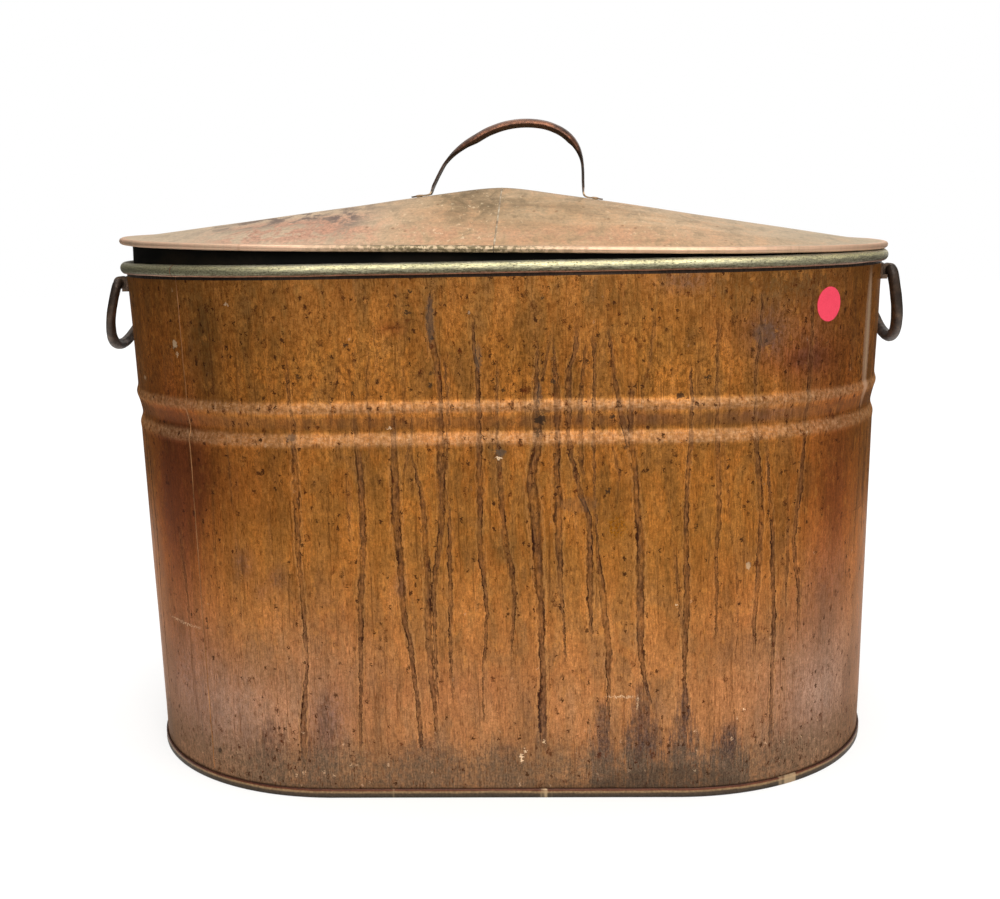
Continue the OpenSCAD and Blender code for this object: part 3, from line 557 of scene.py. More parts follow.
    # drips: a translucent brown run with ragged, darker edges, and beside it a pale line that is a painted highlight
    # along the drip's edge
    sw = M.op("MULTIPLY", M.op("SUBTRACT", M.noise(w, (0.26, 0.13, 1), 4, 0.65), 0.5), 6.5)
    brk = M.rng(M.noise(w, (0.10, 0.035, 1), 4, 0.7), 0.36, 0.56, 0.35, 1.0)
    wid = M.rng(fiber, 0.36, 0.64, 0.78, 1.22)
    side_n = M.rng(M.noise(w, (0.03, 0.018, 1), 2, 0.5), 0.4, 0.6, -1.0, 1.0)
    core_all, edge_all, drip_edge_highlight_all = None, None, None
    for ch in ("dripA", "dripB", "dripC"):
        s, hw, k = M.sep(M.attrc(ch))
        sx = M.op("ADD", s, M.op("MULTIPLY", sw, 0.85))
        x = M.op("DIVIDE", M.op("ABSOLUTE", sx), M.op("MULTIPLY", M.op("MAXIMUM", hw, 0.6), wid))
        kk = M.op("MULTIPLY", M.op("MULTIPLY", k, 1.25, clamp=True), brk, clamp=True)
        core = M.op("MULTIPLY", M.rng(x, 0.80, 1.15, 1.0, 0.0, True), kk)
        near = M.op("MULTIPLY", M.rng(x, 0.40, 0.88, 0.0, 1.0, True), M.rng(x, 0.98, 1.30, 1.0, 0.0, True))
        lop = M.op("ADD", 0.7, M.op("MULTIPLY", M.op("MULTIPLY", M.op("SIGN", sx), side_n), 0.45))
        edge = M.op("MULTIPLY", M.op("MULTIPLY", near, lop), kk)
        drip_edge_highlight = M.op("MULTIPLY", M.op("MULTIPLY", M.rng(x, 1.15, 1.35, 0.0, 1.0, True), M.rng(x, 1.5, 2.0, 1.0, 0.0, True)), k)
        core_all = core if core_all is None else M.op("MAXIMUM", core_all, core)
        edge_all = edge if edge_all is None else M.op("MAXIMUM", edge_all, edge)
        drip_edge_highlight_all = drip_edge_highlight if drip_edge_highlight_all is None else M.op("MAXIMUM", drip_edge_highlight_all, drip_edge_highlight)
    # painted highlight: the pale line beside each drip
    base = M.mix(M.op("MULTIPLY", drip_edge_highlight_all, 0.22, clamp=True), base, srgb(222, 166, 104))
    base = M.mix(M.op("MULTIPLY", core_all, 0.80, clamp=True), base, M.ramp(M.op("ADD", M.op("MULTIPLY", mott, 0.6), M.op("MULTIPLY", fiber, 0.4)), [(0.42, srgb(58, 38, 26)), (0.50, srgb(94, 62, 40)), (0.58, srgb(136, 94, 58))]))
    base = M.mix(M.op("MULTIPLY", edge_all, 1.1, clamp=True), base, srgb(50, 26, 16))
    # dark stains that rise like flames from the bottom
    s, hw, k = M.sep(M.attrc("dripS"))
    fray = M.op("MULTIPLY", M.op("SUBTRACT", M.noise(ww, (0.30, 0.028, 1), 5, 0.75), 0.5), 6.5)
    x = M.op("ADD", M.op("DIVIDE", M.op("ABSOLUTE", s), M.op("MAXIMUM", hw, 1.0)), fray)
    sm = M.op("MULTIPLY", M.op("MULTIPLY", M.rng(x, 0.30, 1.8, 1.0, 0.0, True), M.op("MULTIPLY", k, M.rng(z, 92.0, 30.0, 0.5, 1.2))), M.rng(mott, 0.40, 0.62, 1.0, 0.62), clamp=True)
    base = M.mix(M.op("MULTIPLY", sm, 0.92, clamp=True), base, M.ramp(M.op("ADD", M.op("MULTIPLY", fiber, 0.6), M.op("MULTIPLY", fine, 0.4)), [(0.40, srgb(34, 32, 34)), (0.5, srgb(58, 50, 50)), (0.62, srgb(112, 92, 82))]))
    # grey brown band along the bottom
    lowb = M.op("ADD", M.rng(z, 3, 62, 1.0, 0.0, True), M.op("MULTIPLY", M.op("SUBTRACT", streak, 0.5), 1.8))
    lowm = M.op("MULTIPLY", M.rng(lowb, 0.05, 0.75, 0.0, 1.0, True), M.rng(mott, 0.38, 0.62, 1.0, 0.5))
    base = M.mix(M.op("MULTIPLY", lowm, 0.76, clamp=True), base, M.ramp(M.op("ADD", M.op("MULTIPLY", fiber, 0.5), M.op("MULTIPLY", fine, 0.5)), [(0.38, srgb(62, 52, 42)), (0.62, srgb(134, 112, 88))]))
    # pale crests of the beads, partly wear and partly a painted highlight, and painted shade in the recess between them
    wn = M.noise(w, (0.30, 0.75, 1), 5, 0.75)
    worn = M.op("MULTIPLY", bead, M.rng(wn, 0.38, 0.58, 0.35, 1.0), clamp=True)
    # wear and painted highlight: the bead crests turn pale tan
    base = M.mix(M.op("MULTIPLY", worn, 0.72), base, M.ramp(mott, [(0.38, srgb(132, 94, 62)), (0.5, srgb(170, 128, 90)), (0.62, srgb(206, 168, 128))]))
    # painted shade: darker in the recess between the two beads
    recess_shade = M.rng(M.op("ABSOLUTE", M.op("SUBTRACT", z, 282.0)), 2.0, 6.5, 1.0, 0.0, True)
    base = M.mix(M.op("MULTIPLY", recess_shade, M.rng(streak, 0.36, 0.6, 0.60, 0.25), clamp=True), base, srgb(96, 64, 44))
    # specks: fine dots, rings, coarse blots and short ticks
    crowd = M.noise(w, (0.03, 0.03, 1), 3, 0.6)
    more = M.op("ADD", M.rng(z, 150, 330, 0.0, 0.5), M.op("ADD", M.rng(z, 12, 70, 0.5, 0.0), M.rng(crowd, 0.38, 0.62, -0.3, 0.4)))
    dA, cA = M.vor(wj, (0.26, 0.17, 1), 1.0)
    ra, ga, ba = M.sep(cA)
    onA = M.rng(M.op("SUBTRACT", M.op("ADD", 0.28, M.op("MULTIPLY", more, 0.70)), ra), 0.0, 0.08, 0.0, 1.0)
    radA = M.rng(M.op("MULTIPLY", ga, ga), 0.0, 1.0, 0.14, 0.36)
    spA = M.op("MULTIPLY", M.rng(M.op("DIVIDE", dA, radA), 0.65, 1.1, 1.0, 0.0, True), onA)
    dB, cB = M.vor(wj, (0.13, 0.085, 1), 1.0)
    rb, gb, bb = M.sep(cB)
    onB = M.rng(M.op("SUBTRACT", M.op("ADD", 0.20, M.op("MULTIPLY", more, 0.70)), rb), 0.0, 0.08, 0.0, 1.0)
    radB = M.rng(gb, 0.0, 1.0, 0.11, 0.24)
    qB = M.op("DIVIDE", dB, radB)
    ringB = M.op("MULTIPLY", M.rng(qB, 0.50, 0.82, 0.30, 1.0, True), M.rng(qB, 1.0, 1.30, 1.0, 0.0, True))
    spB = M.op("MULTIPLY", M.op("MULTIPLY", ringB, onB), M.rng(mott, 0.42, 0.55, 1.0, 0.5))
    dC, cC = M.vor(wj, (0.034, 0.030, 1), 1.0)
    rc, gc, bc = M.sep(cC)
    onC = M.rng(M.op("SUBTRACT", M.op("ADD", 0.22, M.op("MULTIPLY", more, 0.7)), rc), 0.0, 0.05, 0.0, 1.0)
    radC = M.rng(gc, 0.0, 1.0, 0.045, 0.10)
    spC = M.op("MULTIPLY", M.rng(M.op("DIVIDE", dC, radC), 0.6, 1.15, 1.0, 0.0, True), onC)
    dT, cT = M.vor(ww, (0.44, 0.11, 1), 1.0)
    onT = M.rng(M.op("SUBTRACT", 0.50, M.sep(cT)[0]), 0.0, 0.05, 0.0, 1.0)
    spT = M.op("MULTIPLY", M.rng(dT, 0.12, 0.30, 1.0, 0.0, True), onT)
    base = M.mix(M.op("MULTIPLY", spT, 0.60), base, srgb(94, 50, 22))
    base = M.mix(M.op("MULTIPLY", M.op("MAXIMUM", spA, spB), 0.92, clamp=True), base, M.ramp(M.op("ADD", ga, 0.0), [(0.0, srgb(80, 32, 12)), (1.0, srgb(60, 34, 18))]))
    base = M.mix(M.op("MULTIPLY", spC, 0.82), base, srgb(50, 42, 34))
    # pale flecks, mostly low down
    dF, cF = M.vor(wj, (0.17, 0.12, 1), 1.0)
    onF = M.rng(M.op("SUBTRACT", M.op("ADD", 0.05, M.op("MULTIPLY", M.rng(z, 15, 80, 1.0, 0.0, True), 0.42)), M.sep(cF)[1]), 0.0, 0.05, 0.0, 1.0)
    spF = M.op("MULTIPLY", M.rng(dF, 0.06, 0.16, 1.0, 0.0, True), onF)
    base = M.mix(M.op("MULTIPLY", spF, 0.7), base, srgb(214, 178, 142))
    # the amber crust
    ax, ay = M.op("SUBTRACT", uj, 83.0), M.op("SUBTRACT", zj, 206.0)
    ad = M.op("SQRT", M.op("ADD", M.op("POWER", M.op("DIVIDE", M.op("ABSOLUTE", ax), 11.0), 2.0), M.op("POWER", M.op("DIVIDE", M.op("ABSOLUTE", ay), 12.0), 2.0)))
    amb = M.op("MULTIPLY", M.rng(ad, 0.3, 1.0, 1.0, 0.0, True), M.rng(M.noise(w, 0.5, 5, 0.75), 0.46, 0.56, 0.0, 1.0))
    base = M.mix(M.op("MULTIPLY", amb, 0.85), base, M.ramp(fine, [(0.38, srgb(96, 36, 8)), (0.58, srgb(196, 124, 18))]))
    # single marks: u, z, half width, half height, colour, strength; the last two in the list paint a highlight streak
    for (mu, mz, mw, mh, col, st) in MARKS:
        qx = M.op("DIVIDE", M.op("SUBTRACT", uj, mu), mw)
        qz = M.op("DIVIDE", M.op("SUBTRACT", zj, mz), mh)
        q = M.op("MULTIPLY_ADD", qx, qx, M.op("MULTIPLY", qz, qz))
        base = M.mix(M.op("MULTIPLY", M.rng(q, 0.45, 1.1, 1.0, 0.0, True), st), base, srgb(*col))
    spots = M.op("MAXIMUM", M.op("MAXIMUM", spA, spB), spC, clamp=True)
    drip = M.op("MAXIMUM", core_all, edge_all, clamp=True)
    rough = M.op("ADD", M.op("MULTIPLY_ADD", bead, 0.30, 0.27), M.op("MULTIPLY", mott, 0.14))
    rough = M.op("ADD", rough, M.op("MULTIPLY", drip, 0.12))
    rough = M.op("ADD", rough, M.op("MULTIPLY", M.op("ADD", spots, lowm), 0.10))
    rough = M.op("ADD", rough, M.op("MULTIPLY", M.op("SUBTRACT", fiber, 0.5), 0.12), clamp=True)
    h = M.op("ADD", M.op("MULTIPLY", fiber, 0.22), M.op("MULTIPLY", fine, 0.25))
    h = M.op("ADD", h, M.op("MULTIPLY", mott, 0.4))
    nrm = M.bump(h, 0.00028, 0.8)
    return M.set(Base_Color=base, Metallic=0.72, Roughness=rough, Normal=nrm, Specular_IOR_Level=0.35, Specular_Tint=(0.62, 0.43, 0.33))


def rim_tin():
    M = Mat("tarnished tin rim")
    u, z, a = M.sep(M.attrc("wuv"))
    q = M.comb(u, M.op("MULTIPLY", a, 0.08), 0.0)
    n1 = M.noise(q, (0.10, 0.8, 1), 6, 0.72, 0.3)
    n2 = M.noise(q, (0.5, 0.9, 1), 4, 0.72)
    n3 = M.noise(M.comb(u, 0.0, 5.0), (0.012, 1.0, 1), 3, 0.6)
    # bands round the roll by its angle: grey top, cream middle, dark green brown below; the cream band is a painted
    # highlight and the dark lower band painted shade
    t = M.op("ADD", M.op("DIVIDE", a, 180.0), M.op("MULTIPLY", M.op("SUBTRACT", n1, 0.5), 0.75))
    base = M.ramp(M.op("ADD", t, 0.5), [(0.12, srgb(58, 48, 34)), (0.32, srgb(78, 72, 52)), (0.44, srgb(134, 132, 110)), (0.56, srgb(170, 166, 136)), (0.66, srgb(226, 218, 168)), (0.76, srgb(196, 192, 158)), (0.90, srgb(222, 218, 196)), (1.0, srgb(150, 144, 120))])
    base = M.mix(1.0, base, M.ramp(n2, [(0.34, 0.45), (0.46, 0.88), (0.56, 1.05), (0.66, 1.25)]), "MULTIPLY")
    # duller green stretches
    ends = M.rng(M.op("ABSOLUTE", M.op("ADD", u, 262.0)), 40, 170, 0.75, 0.0, True)
    base = M.mix(M.op("MAXIMUM", ends, M.rng(n3, 0.45, 0.62, 0.0, 0.5)), base, M.ramp(n2, [(0.36, srgb(78, 76, 56)), (0.62, srgb(140, 138, 108))]))
    d, c = M.vor(q, (0.42, 0.8, 1), 1.0)
    pit = M.op("MULTIPLY", M.rng(d, 0.16, 0.34, 1.0, 0.0, True), M.rng(M.sep(c)[0], 0.45, 0.55, 0.0, 1.0))
    base = M.mix(M.op("MULTIPLY", pit, 0.72), base, srgb(48, 42, 28))
    # bare copper towards the cut edge, low on the outside
    lip = M.rng(M.op("ADD", a, M.op("MULTIPLY", M.op("SUBTRACT", n1, 0.5), 34.0)), -26.0, -42.0, 0.0, 1.0, True)
    base = M.mix(M.op("MULTIPLY", lip, 0.85), base, M.ramp(n2, [(0.36, srgb(74, 54, 42)), (0.62, srgb(150, 116, 94))]))
    # painted shadow: the underside of the roll turns almost black
    base = M.mix(M.rng(a, -66.0, -86.0, 0.0, 0.9, True), base, srgb(26, 18, 12))
    rough = M.rng(n2, 0.36, 0.62, 0.50, 0.30)
    h = M.op("SUBTRACT", M.op("MULTIPLY", M.op("ADD", n1, n2), 0.5), M.op("MULTIPLY", pit, 0.4))
    return M.set(Base_Color=base, Metallic=0.70, Roughness=rough, Normal=M.bump(h, 0.0006, 0.9))


def inner_tin():
    M = Mat("tinned inside")
    w = M.attr("wuv")
    n1 = M.noise(w, (0.03, 0.02, 1), 6, 0.65, 0.4)
    n2 = M.noise(w, (0.5, 0.03, 1), 4, 0.6)
    base = M.ramp(n1, [(0.3, srgb(92, 86, 74)), (0.5, srgb(140, 134, 120)), (0.7, srgb(172, 166, 150))])
    base = M.mix(1.0, base, M.ramp(n2, [(0.3, 0.82), (0.7, 1.1)]), "MULTIPLY")
    d, c = M.vor(w, (0.09, 0.08, 1), 1.0)
    sp = M.op("MULTIPLY", M.rng(d, 0.1, 0.22, 1.0, 0.0, True), M.rng(M.sep(c)[0], 0.6, 0.7, 0.0, 1.0))
    base = M.mix(M.op("MULTIPLY", sp, 0.5), base, srgb(96, 66, 44))
    return M.set(Base_Color=base, Metallic=0.7, Roughness=M.rng(n1, 0.3, 0.7, 0.55, 0.38), Normal=M.bump(n2, 0.0002, 0.6))


def generic(name, cols, metallic, rough, grain=(1, 1, 1), size=120.0, bump=0.0003, spot=None, spot_scale=400.0, worn=None, spec=0.5):
    """Mottled metal in object space: cols are three tones, size is the mottle's frequency per metre."""
    M = Mat(name)
    o = M.obj()
    n1 = M.noise(o, tuple(g * size for g in grain), 6, 0.68, 0.3)
    n2 = M.noise(o, size * 7, 4, 0.65)
    base = M.ramp(n1, [(0.3, cols[0]), (0.5, cols[1]), (0.7, cols[2])])
    base = M.mix(1.0, base, M.ramp(n2, [(0.3, 0.78), (0.7, 1.15)]), "MULTIPLY")
    if spot:
        d, c = M.vor(o, spot_scale, 1.0)
        sp = M.op("MULTIPLY", M.rng(d, 0.12, 0.26, 1.0, 0.0, True), M.rng(M.sep(c)[0], 0.6, 0.7, 0.0, 1.0))
        base = M.mix(M.op("MULTIPLY", sp, 0.6), base, spot)
    if worn:
        pt = M.t.nodes.new("ShaderNodeNewGeometry").outputs["Pointiness"]
        wm = M.op("MULTIPLY", M.rng(pt, 0.52, 0.6, 0.0, 1.0, True), M.rng(n2, 0.35, 0.65, 0.3, 1.0))
        base = M.mix(M.op("MULTIPLY", wm, 0.7), base, worn)
    return M.set(Base_Color=base, Metallic=metallic, Roughness=M.rng(n1, 0.3, 0.7, rough + 0.1, rough - 0.06),
                 Normal=M.bump(M.op("ADD", M.op("MULTIPLY", n1, 0.6), M.op("MULTIPLY", n2, 0.4)), bump, 0.8), Specular_IOR_Level=spec)


def lid_copper():
    M = Mat("pale lid copper")
    w = M.attr("luv")
    lx, ly, rr = M.sep(M.attrc("luv"))
    n1 = M.noise(w, (0.012, 0.024, 0), 5, 0.68, 0.5)
    n2 = M.noise(w, (0.035, 0.20, 0), 5, 0.7)
    n3 = M.noise(w, (0.062, 0.032, 0), 6, 0.74, 0.6)
    fine = M.noise(w, (0.40, 0.19, 0), 4, 0.75)
    base = M.ramp(n1, [(0.34, srgb(156, 130, 100)), (0.5, srgb(184, 156, 121)), (0.66, srgb(203, 175, 140))])
    # warmer in front, greyer and greener up the slope and towards the ends
    warm = M.rng(M.op("ADD", ly, M.op("MULTIPLY", M.op("SUBTRACT", n1, 0.5), 120.0)), -60.0, -150.0, 0.0, 1.0, True)
    base = M.mix(M.op("MULTIPLY", warm, 0.45), base, srgb(208, 164, 124))
    base = M.mix(M.op("MULTIPLY", M.rng(M.op("ABSOLUTE", lx), 90.0, 270.0, 0.0, 1.0, True), 0.8), base, srgb(176, 161, 136))
    base = M.mix(M.rng(n3, 0.50, 0.62, 0.0, 0.30, True), base, srgb(206, 158, 116))
    base = M.mix(M.rng(n3, 0.47, 0.37, 0.0, 0.40, True), base, srgb(160, 138, 106))
    base = M.mix(M.rng(lx, -20, -150, 0.0, 0.6, True), base, srgb(214, 194, 170))
    rose, yel, grey = M.sep(M.attrc("ltint"))
    base = M.mix(M.op("MULTIPLY", M.op("MULTIPLY", rose, 0.62), M.rng(n3, 0.45, 0.53, 0.0, 1.0, True), clamp=True), base, M.ramp(fine, [(0.4, srgb(158, 102, 86)), (0.6, srgb(190, 130, 108))]))
    base = M.mix(M.op("MULTIPLY", M.op("MULTIPLY", grey, 0.80), M.rng(n3, 0.54, 0.46, 0.0, 1.0, True), clamp=True), base, srgb(112, 90, 86))
    base = M.mix(M.op("MULTIPLY", yel, M.rng(n3, 0.40, 0.58, 0.85, 0.2), clamp=True), base, srgb(132, 110, 78))
    base = M.mix(1.0, base, M.ramp(n2, [(0.36, 0.92), (0.5, 1.0), (0.64, 1.05)]), "MULTIPLY")
    base = M.mix(1.0, base, M.ramp(n3, [(0.38, 0.86), (0.46, 0.97), (0.54, 1.02), (0.62, 1.07)]), "MULTIPLY")
    base = M.mix(1.0, base, M.ramp(fine, [(0.38, 0.82), (0.47, 0.98), (0.54, 1.02), (0.62, 1.12)]), "MULTIPLY")
    d, c = M.vor(w, (0.11, 0.06, 0), 1.0)
    sp = M.op("MULTIPLY", M.rng(d, 0.06, 0.18, 1.0, 0.0, True), M.rng(M.sep(c)[0], 0.6, 0.68, 0.0, 1.0))
    base = M.mix(M.op("MULTIPLY", sp, 0.5), base, srgb(112, 76, 52))
    # the pale hem, with dark green spots near the middle
    hem = M.rng(rr, 171.5, 174.5, 0.0, 1.0, True)
    base = M.mix(M.op("MULTIPLY", hem, M.rng(n3, 0.35, 0.6, 0.45, 0.9), clamp=True), base, srgb(214, 176, 150))
    mid = M.rng(M.op("ABSOLUTE", M.op("ADD", lx, 30.0)), 20.0, 130.0, 1.0, 0.0, True)
    base = M.mix(M.op("MULTIPLY", M.op("MULTIPLY", hem, mid), 0.75), base, srgb(158, 146, 118))
    hs = M.op("MULTIPLY", M.op("MULTIPLY", M.rng(rr, 168.0, 174.0, 0.0, 1.0, True), mid), M.rng(M.noise(M.obj(), 260.0, 3, 0.7), 0.44, 0.54, 0.0, 1.0, True))
    base = M.mix(M.op("MULTIPLY", hs, 0.8), base, srgb(74, 66, 42))
    # short bright scratches, partly painted glints
    sc = M.noise(w, (0.24, 0.10, 0), 4, 0.7)
    near = M.op("ADD", M.rng(M.op("ABSOLUTE", M.op("ADD", lx, 35.0)), 15.0, 75.0, 1.0, 0.15, True), M.rng(M.op("ABSOLUTE", M.op("SUBTRACT", lx, 110.0)), 10.0, 60.0, 0.5, 0.0, True), clamp=True)
    scm = M.op("MULTIPLY", M.rng(sc, 0.605, 0.635, 0.0, 0.8, True), near)
    base = M.mix(M.op("MULTIPLY", scm, 0.62), base, srgb(246, 226, 190))
    rough = M.op("ADD", M.rng(n1, 0.3, 0.7, 0.50, 0.40), M.op("MULTIPLY", sp, 0.2))
    h = M.op("ADD", M.op("MULTIPLY", n2, 0.4), M.op("MULTIPLY", fine, 0.25))
    return M.set(Base_Color=base, Metallic=0.62, Roughness=rough, Normal=M.bump(h, 0.00022, 0.7), Specular_Tint=M.mix(0.42, base, (1.0, 1.0, 1.0)))


def seam_band():
    """The double seam along the floor: a dark red line on top, then a tan shoulder that is a painted highlight and a
    dull lower half that is painted shade.
    """
    M = Mat("bottom seam copper")
    o = M.obj()
    n1 = M.noise(o, (32.0, 32.0, 180.0), 6, 0.68, 0.3)
    n2 = M.noise(o, 520.0, 4, 0.65)
    h = M.op("ADD", M.sep(o)[2], M.op("MULTIPLY", M.op("SUBTRACT", n1, 0.5), 0.0022))
    # colour by height: the tan shoulder is a painted highlight, the dull lower half painted shade
    base = M.ramp(M.rng(h, 0.0, 0.0072, 0.0, 1.0, True), [(0.0, srgb(52, 44, 36)), (0.42, srgb(74, 60, 45)), (0.56, srgb(128, 104, 74)), (0.74, srgb(146, 118, 84)), (0.86, srgb(104, 56, 34)), (1.0, srgb(62, 34, 22))])
    base = M.mix(1.0, base, M.ramp(n2, [(0.36, 0.72), (0.64, 1.24)]), "MULTIPLY")
    base = M.mix(M.rng(M.noise(o, (26.0, 26.0, 4.0), 4, 0.7), 0.60, 0.66, 0.0, 0.55, True), base, srgb(198, 172, 134))
    return M.set(Base_Color=base, Metallic=0.6, Roughness=M.rng(n1, 0.3, 0.7, 0.52, 0.38), Normal=M.bump(n2, 0.0003, 0.8))


def strap_copper():
    """Dark brown copper; the two feet on the lid are as pale as the lid."""
    M = Mat("lid strap copper")
    o = M.obj()
    n1 = M.noise(o, (40.0, 80.0, 80.0), 6, 0.68, 0.3)
    n2 = M.noise(o, 500.0, 4, 0.65)
    base = M.ramp(n1, [(0.36, srgb(52, 34, 26)), (0.5, srgb(90, 58, 42)), (0.64, srgb(136, 88, 62))])
    base = M.mix(1.0, base, M.ramp(n2, [(0.36, 0.72), (0.64, 1.2)]), "MULTIPLY")
    ox, _, oz = M.sep(o)
    oz = M.op("MULTIPLY_ADD", ox, 0.0227, oz)
    grey = M.rng(oz, 0.455, 0.488, 0.9, 0.0, True)
    base = M.mix(grey, base, M.ramp(n1, [(0.4, srgb(36, 30, 26)), (0.6, srgb(66, 55, 47))]))
    foot = M.rng(oz, 0.4410, 0.4432, 1.0, 0.0, True)
    base = M.mix(M.op("MULTIPLY", foot, 0.92), base, M.ramp(n1, [(0.36, srgb(150, 128, 98)), (0.64, srgb(188, 160, 126))]))
    # painted shade: faces that turn downwards, the underside of the grip, are darkened
    nz = M.sep(M.t.nodes.new("ShaderNodeNewGeometry").outputs["Normal"])[2]
    base = M.mix(M.rng(nz, 0.25, -0.40, 0.0, 0.85, True), base, srgb(30, 22, 18))
    d, c = M.vor(o, 420.0, 1.0)
    sp = M.op("MULTIPLY", M.rng(d, 0.12, 0.26, 1.0, 0.0, True), M.rng(M.sep(c)[0], 0.6, 0.7, 0.0, 1.0))
    base = M.mix(M.op("MULTIPLY", sp, 0.5), base, srgb(54, 34, 24))
    pt = M.t.nodes.new("ShaderNodeNewGeometry").outputs["Pointiness"]
    base = M.mix(M.op("MULTIPLY", M.op("MULTIPLY", M.rng(pt, 0.52, 0.6, 0.0, 1.0, True), M.rng(oz, 0.47, 0.50, 0.0, 1.0)), M.rng(n2, 0.42, 0.60, 0.0, 0.45)), base, srgb(186, 138, 104))
    return M.set(Base_Color=base, Metallic=0.6, Roughness=M.rng(n1, 0.36, 0.64, 0.46, 0.32),
                 Normal=M.bump(M.op("ADD", M.op("MULTIPLY", n1, 0.6), M.op("MULTIPLY", n2, 0.4)), 0.0003, 0.8))


COPPER = wall_copper()
RIMTIN = rim_tin()
TIN = inner_tin()
EDGE = generic("cut copper edge", (srgb(110, 74, 52), srgb(160, 112, 84), srgb(196, 150, 120)), 0.7, 0.4, (1, 1, 1), 90)
BAND = seam_band()
LIDCU = lid_copper()
DARK = generic("dark fittings copper", (srgb(30, 24, 20), srgb(54, 43, 35), srgb(86, 68, 55)), 0.55, 0.46, (1, 1, 1), 110, 0.0003, srgb(24, 18, 15), 500, srgb(112, 90, 72))
ROD = generic("handle rod copper", (srgb(27, 22, 18), srgb(58, 46, 38), srgb(108, 86, 68)), 0.55, 0.42, (1, 1, 0.6), 60, 0.0005, srgb(24, 18, 15), 420, srgb(140, 110, 86))
STRAP = strap_copper()
SEAMCU = generic("old solder on the side seams", (srgb(104, 66, 36), srgb(146, 98, 56), srgb(186, 136, 92)), 0.7, 0.36, (1, 1, 0.4), 90, 0.0003, srgb(70, 46, 30), 420)
LIDSEAM = generic("pale solder on the lid seam", (srgb(98, 76, 52), srgb(168, 144, 110), srgb(244, 234, 206)), 0.6, 0.36, (1, 1, 1), 60, 0.0004, srgb(78, 66, 44), 380)
PALEFIT = generic("pale rivet copper", (srgb(140, 106, 76), srgb(176, 138, 102), srgb(204, 166, 128)), 0.6, 0.38, (1, 1, 1), 110, 0.0003, srgb(84, 60, 42), 500)
# painted shade: the collar is near black, dull and non-metallic, for the shade in the gap between lid and rim
COLLAR_SHADE = generic("collar copper painted as shade", (srgb(4, 4, 3), srgb(9, 9, 6), srgb(26, 20, 12)), 0.0, 0.75, (0.35, 0.35, 1), 45, 0.0003, srgb(20, 18, 14), 260, None, 0.12)
SOLDER = generic("old solder", (srgb(94, 88, 76), srgb(130, 122, 104), srgb(168, 160, 138)), 0.75, 0.42, (1, 1, 1), 160, 0.0004, srgb(70, 62, 50), 500)
STEEL = generic("rusty steel rod", (srgb(58, 44, 34), srgb(84, 74, 64), srgb(120, 112, 102)), 0.7, 0.5, (1, 1, 1), 120, 0.0003, srgb(88, 48, 24), 500)
TINOBJ = generic("tinned copper strip", (srgb(96, 90, 78), srgb(134, 128, 114), srgb(160, 154, 140)), 0.7, 0.42, (1, 1, 0.3), 50, 0.0002, srgb(90, 62, 42), 160)


# ------------------------------------------------------------------ body sheets
def section_samples():
    """Heights z of a sheet's section samples: finer on the outer face, coarser on the inner face."""
    z_out = np.unique(np.concatenate([
        np.linspace(SEAM_H + 0.2, 30, 8), np.linspace(30, 258, 52), np.arange(258, 304, 0.8),
        np.linspace(304, 366, 15), np.linspace(366, NECK_Z, 8)]))
    z_in = np.unique(np.concatenate([np.linspace(SEAM_H + 0.2, 258, 18), np.arange(258, 304, 1.6), np.linspace(304, NECK_Z, 10)]))
    return z_out, z_in


Z_OUT, Z_IN = section_samples()
FOOT_R = float(plain_r(0.0))


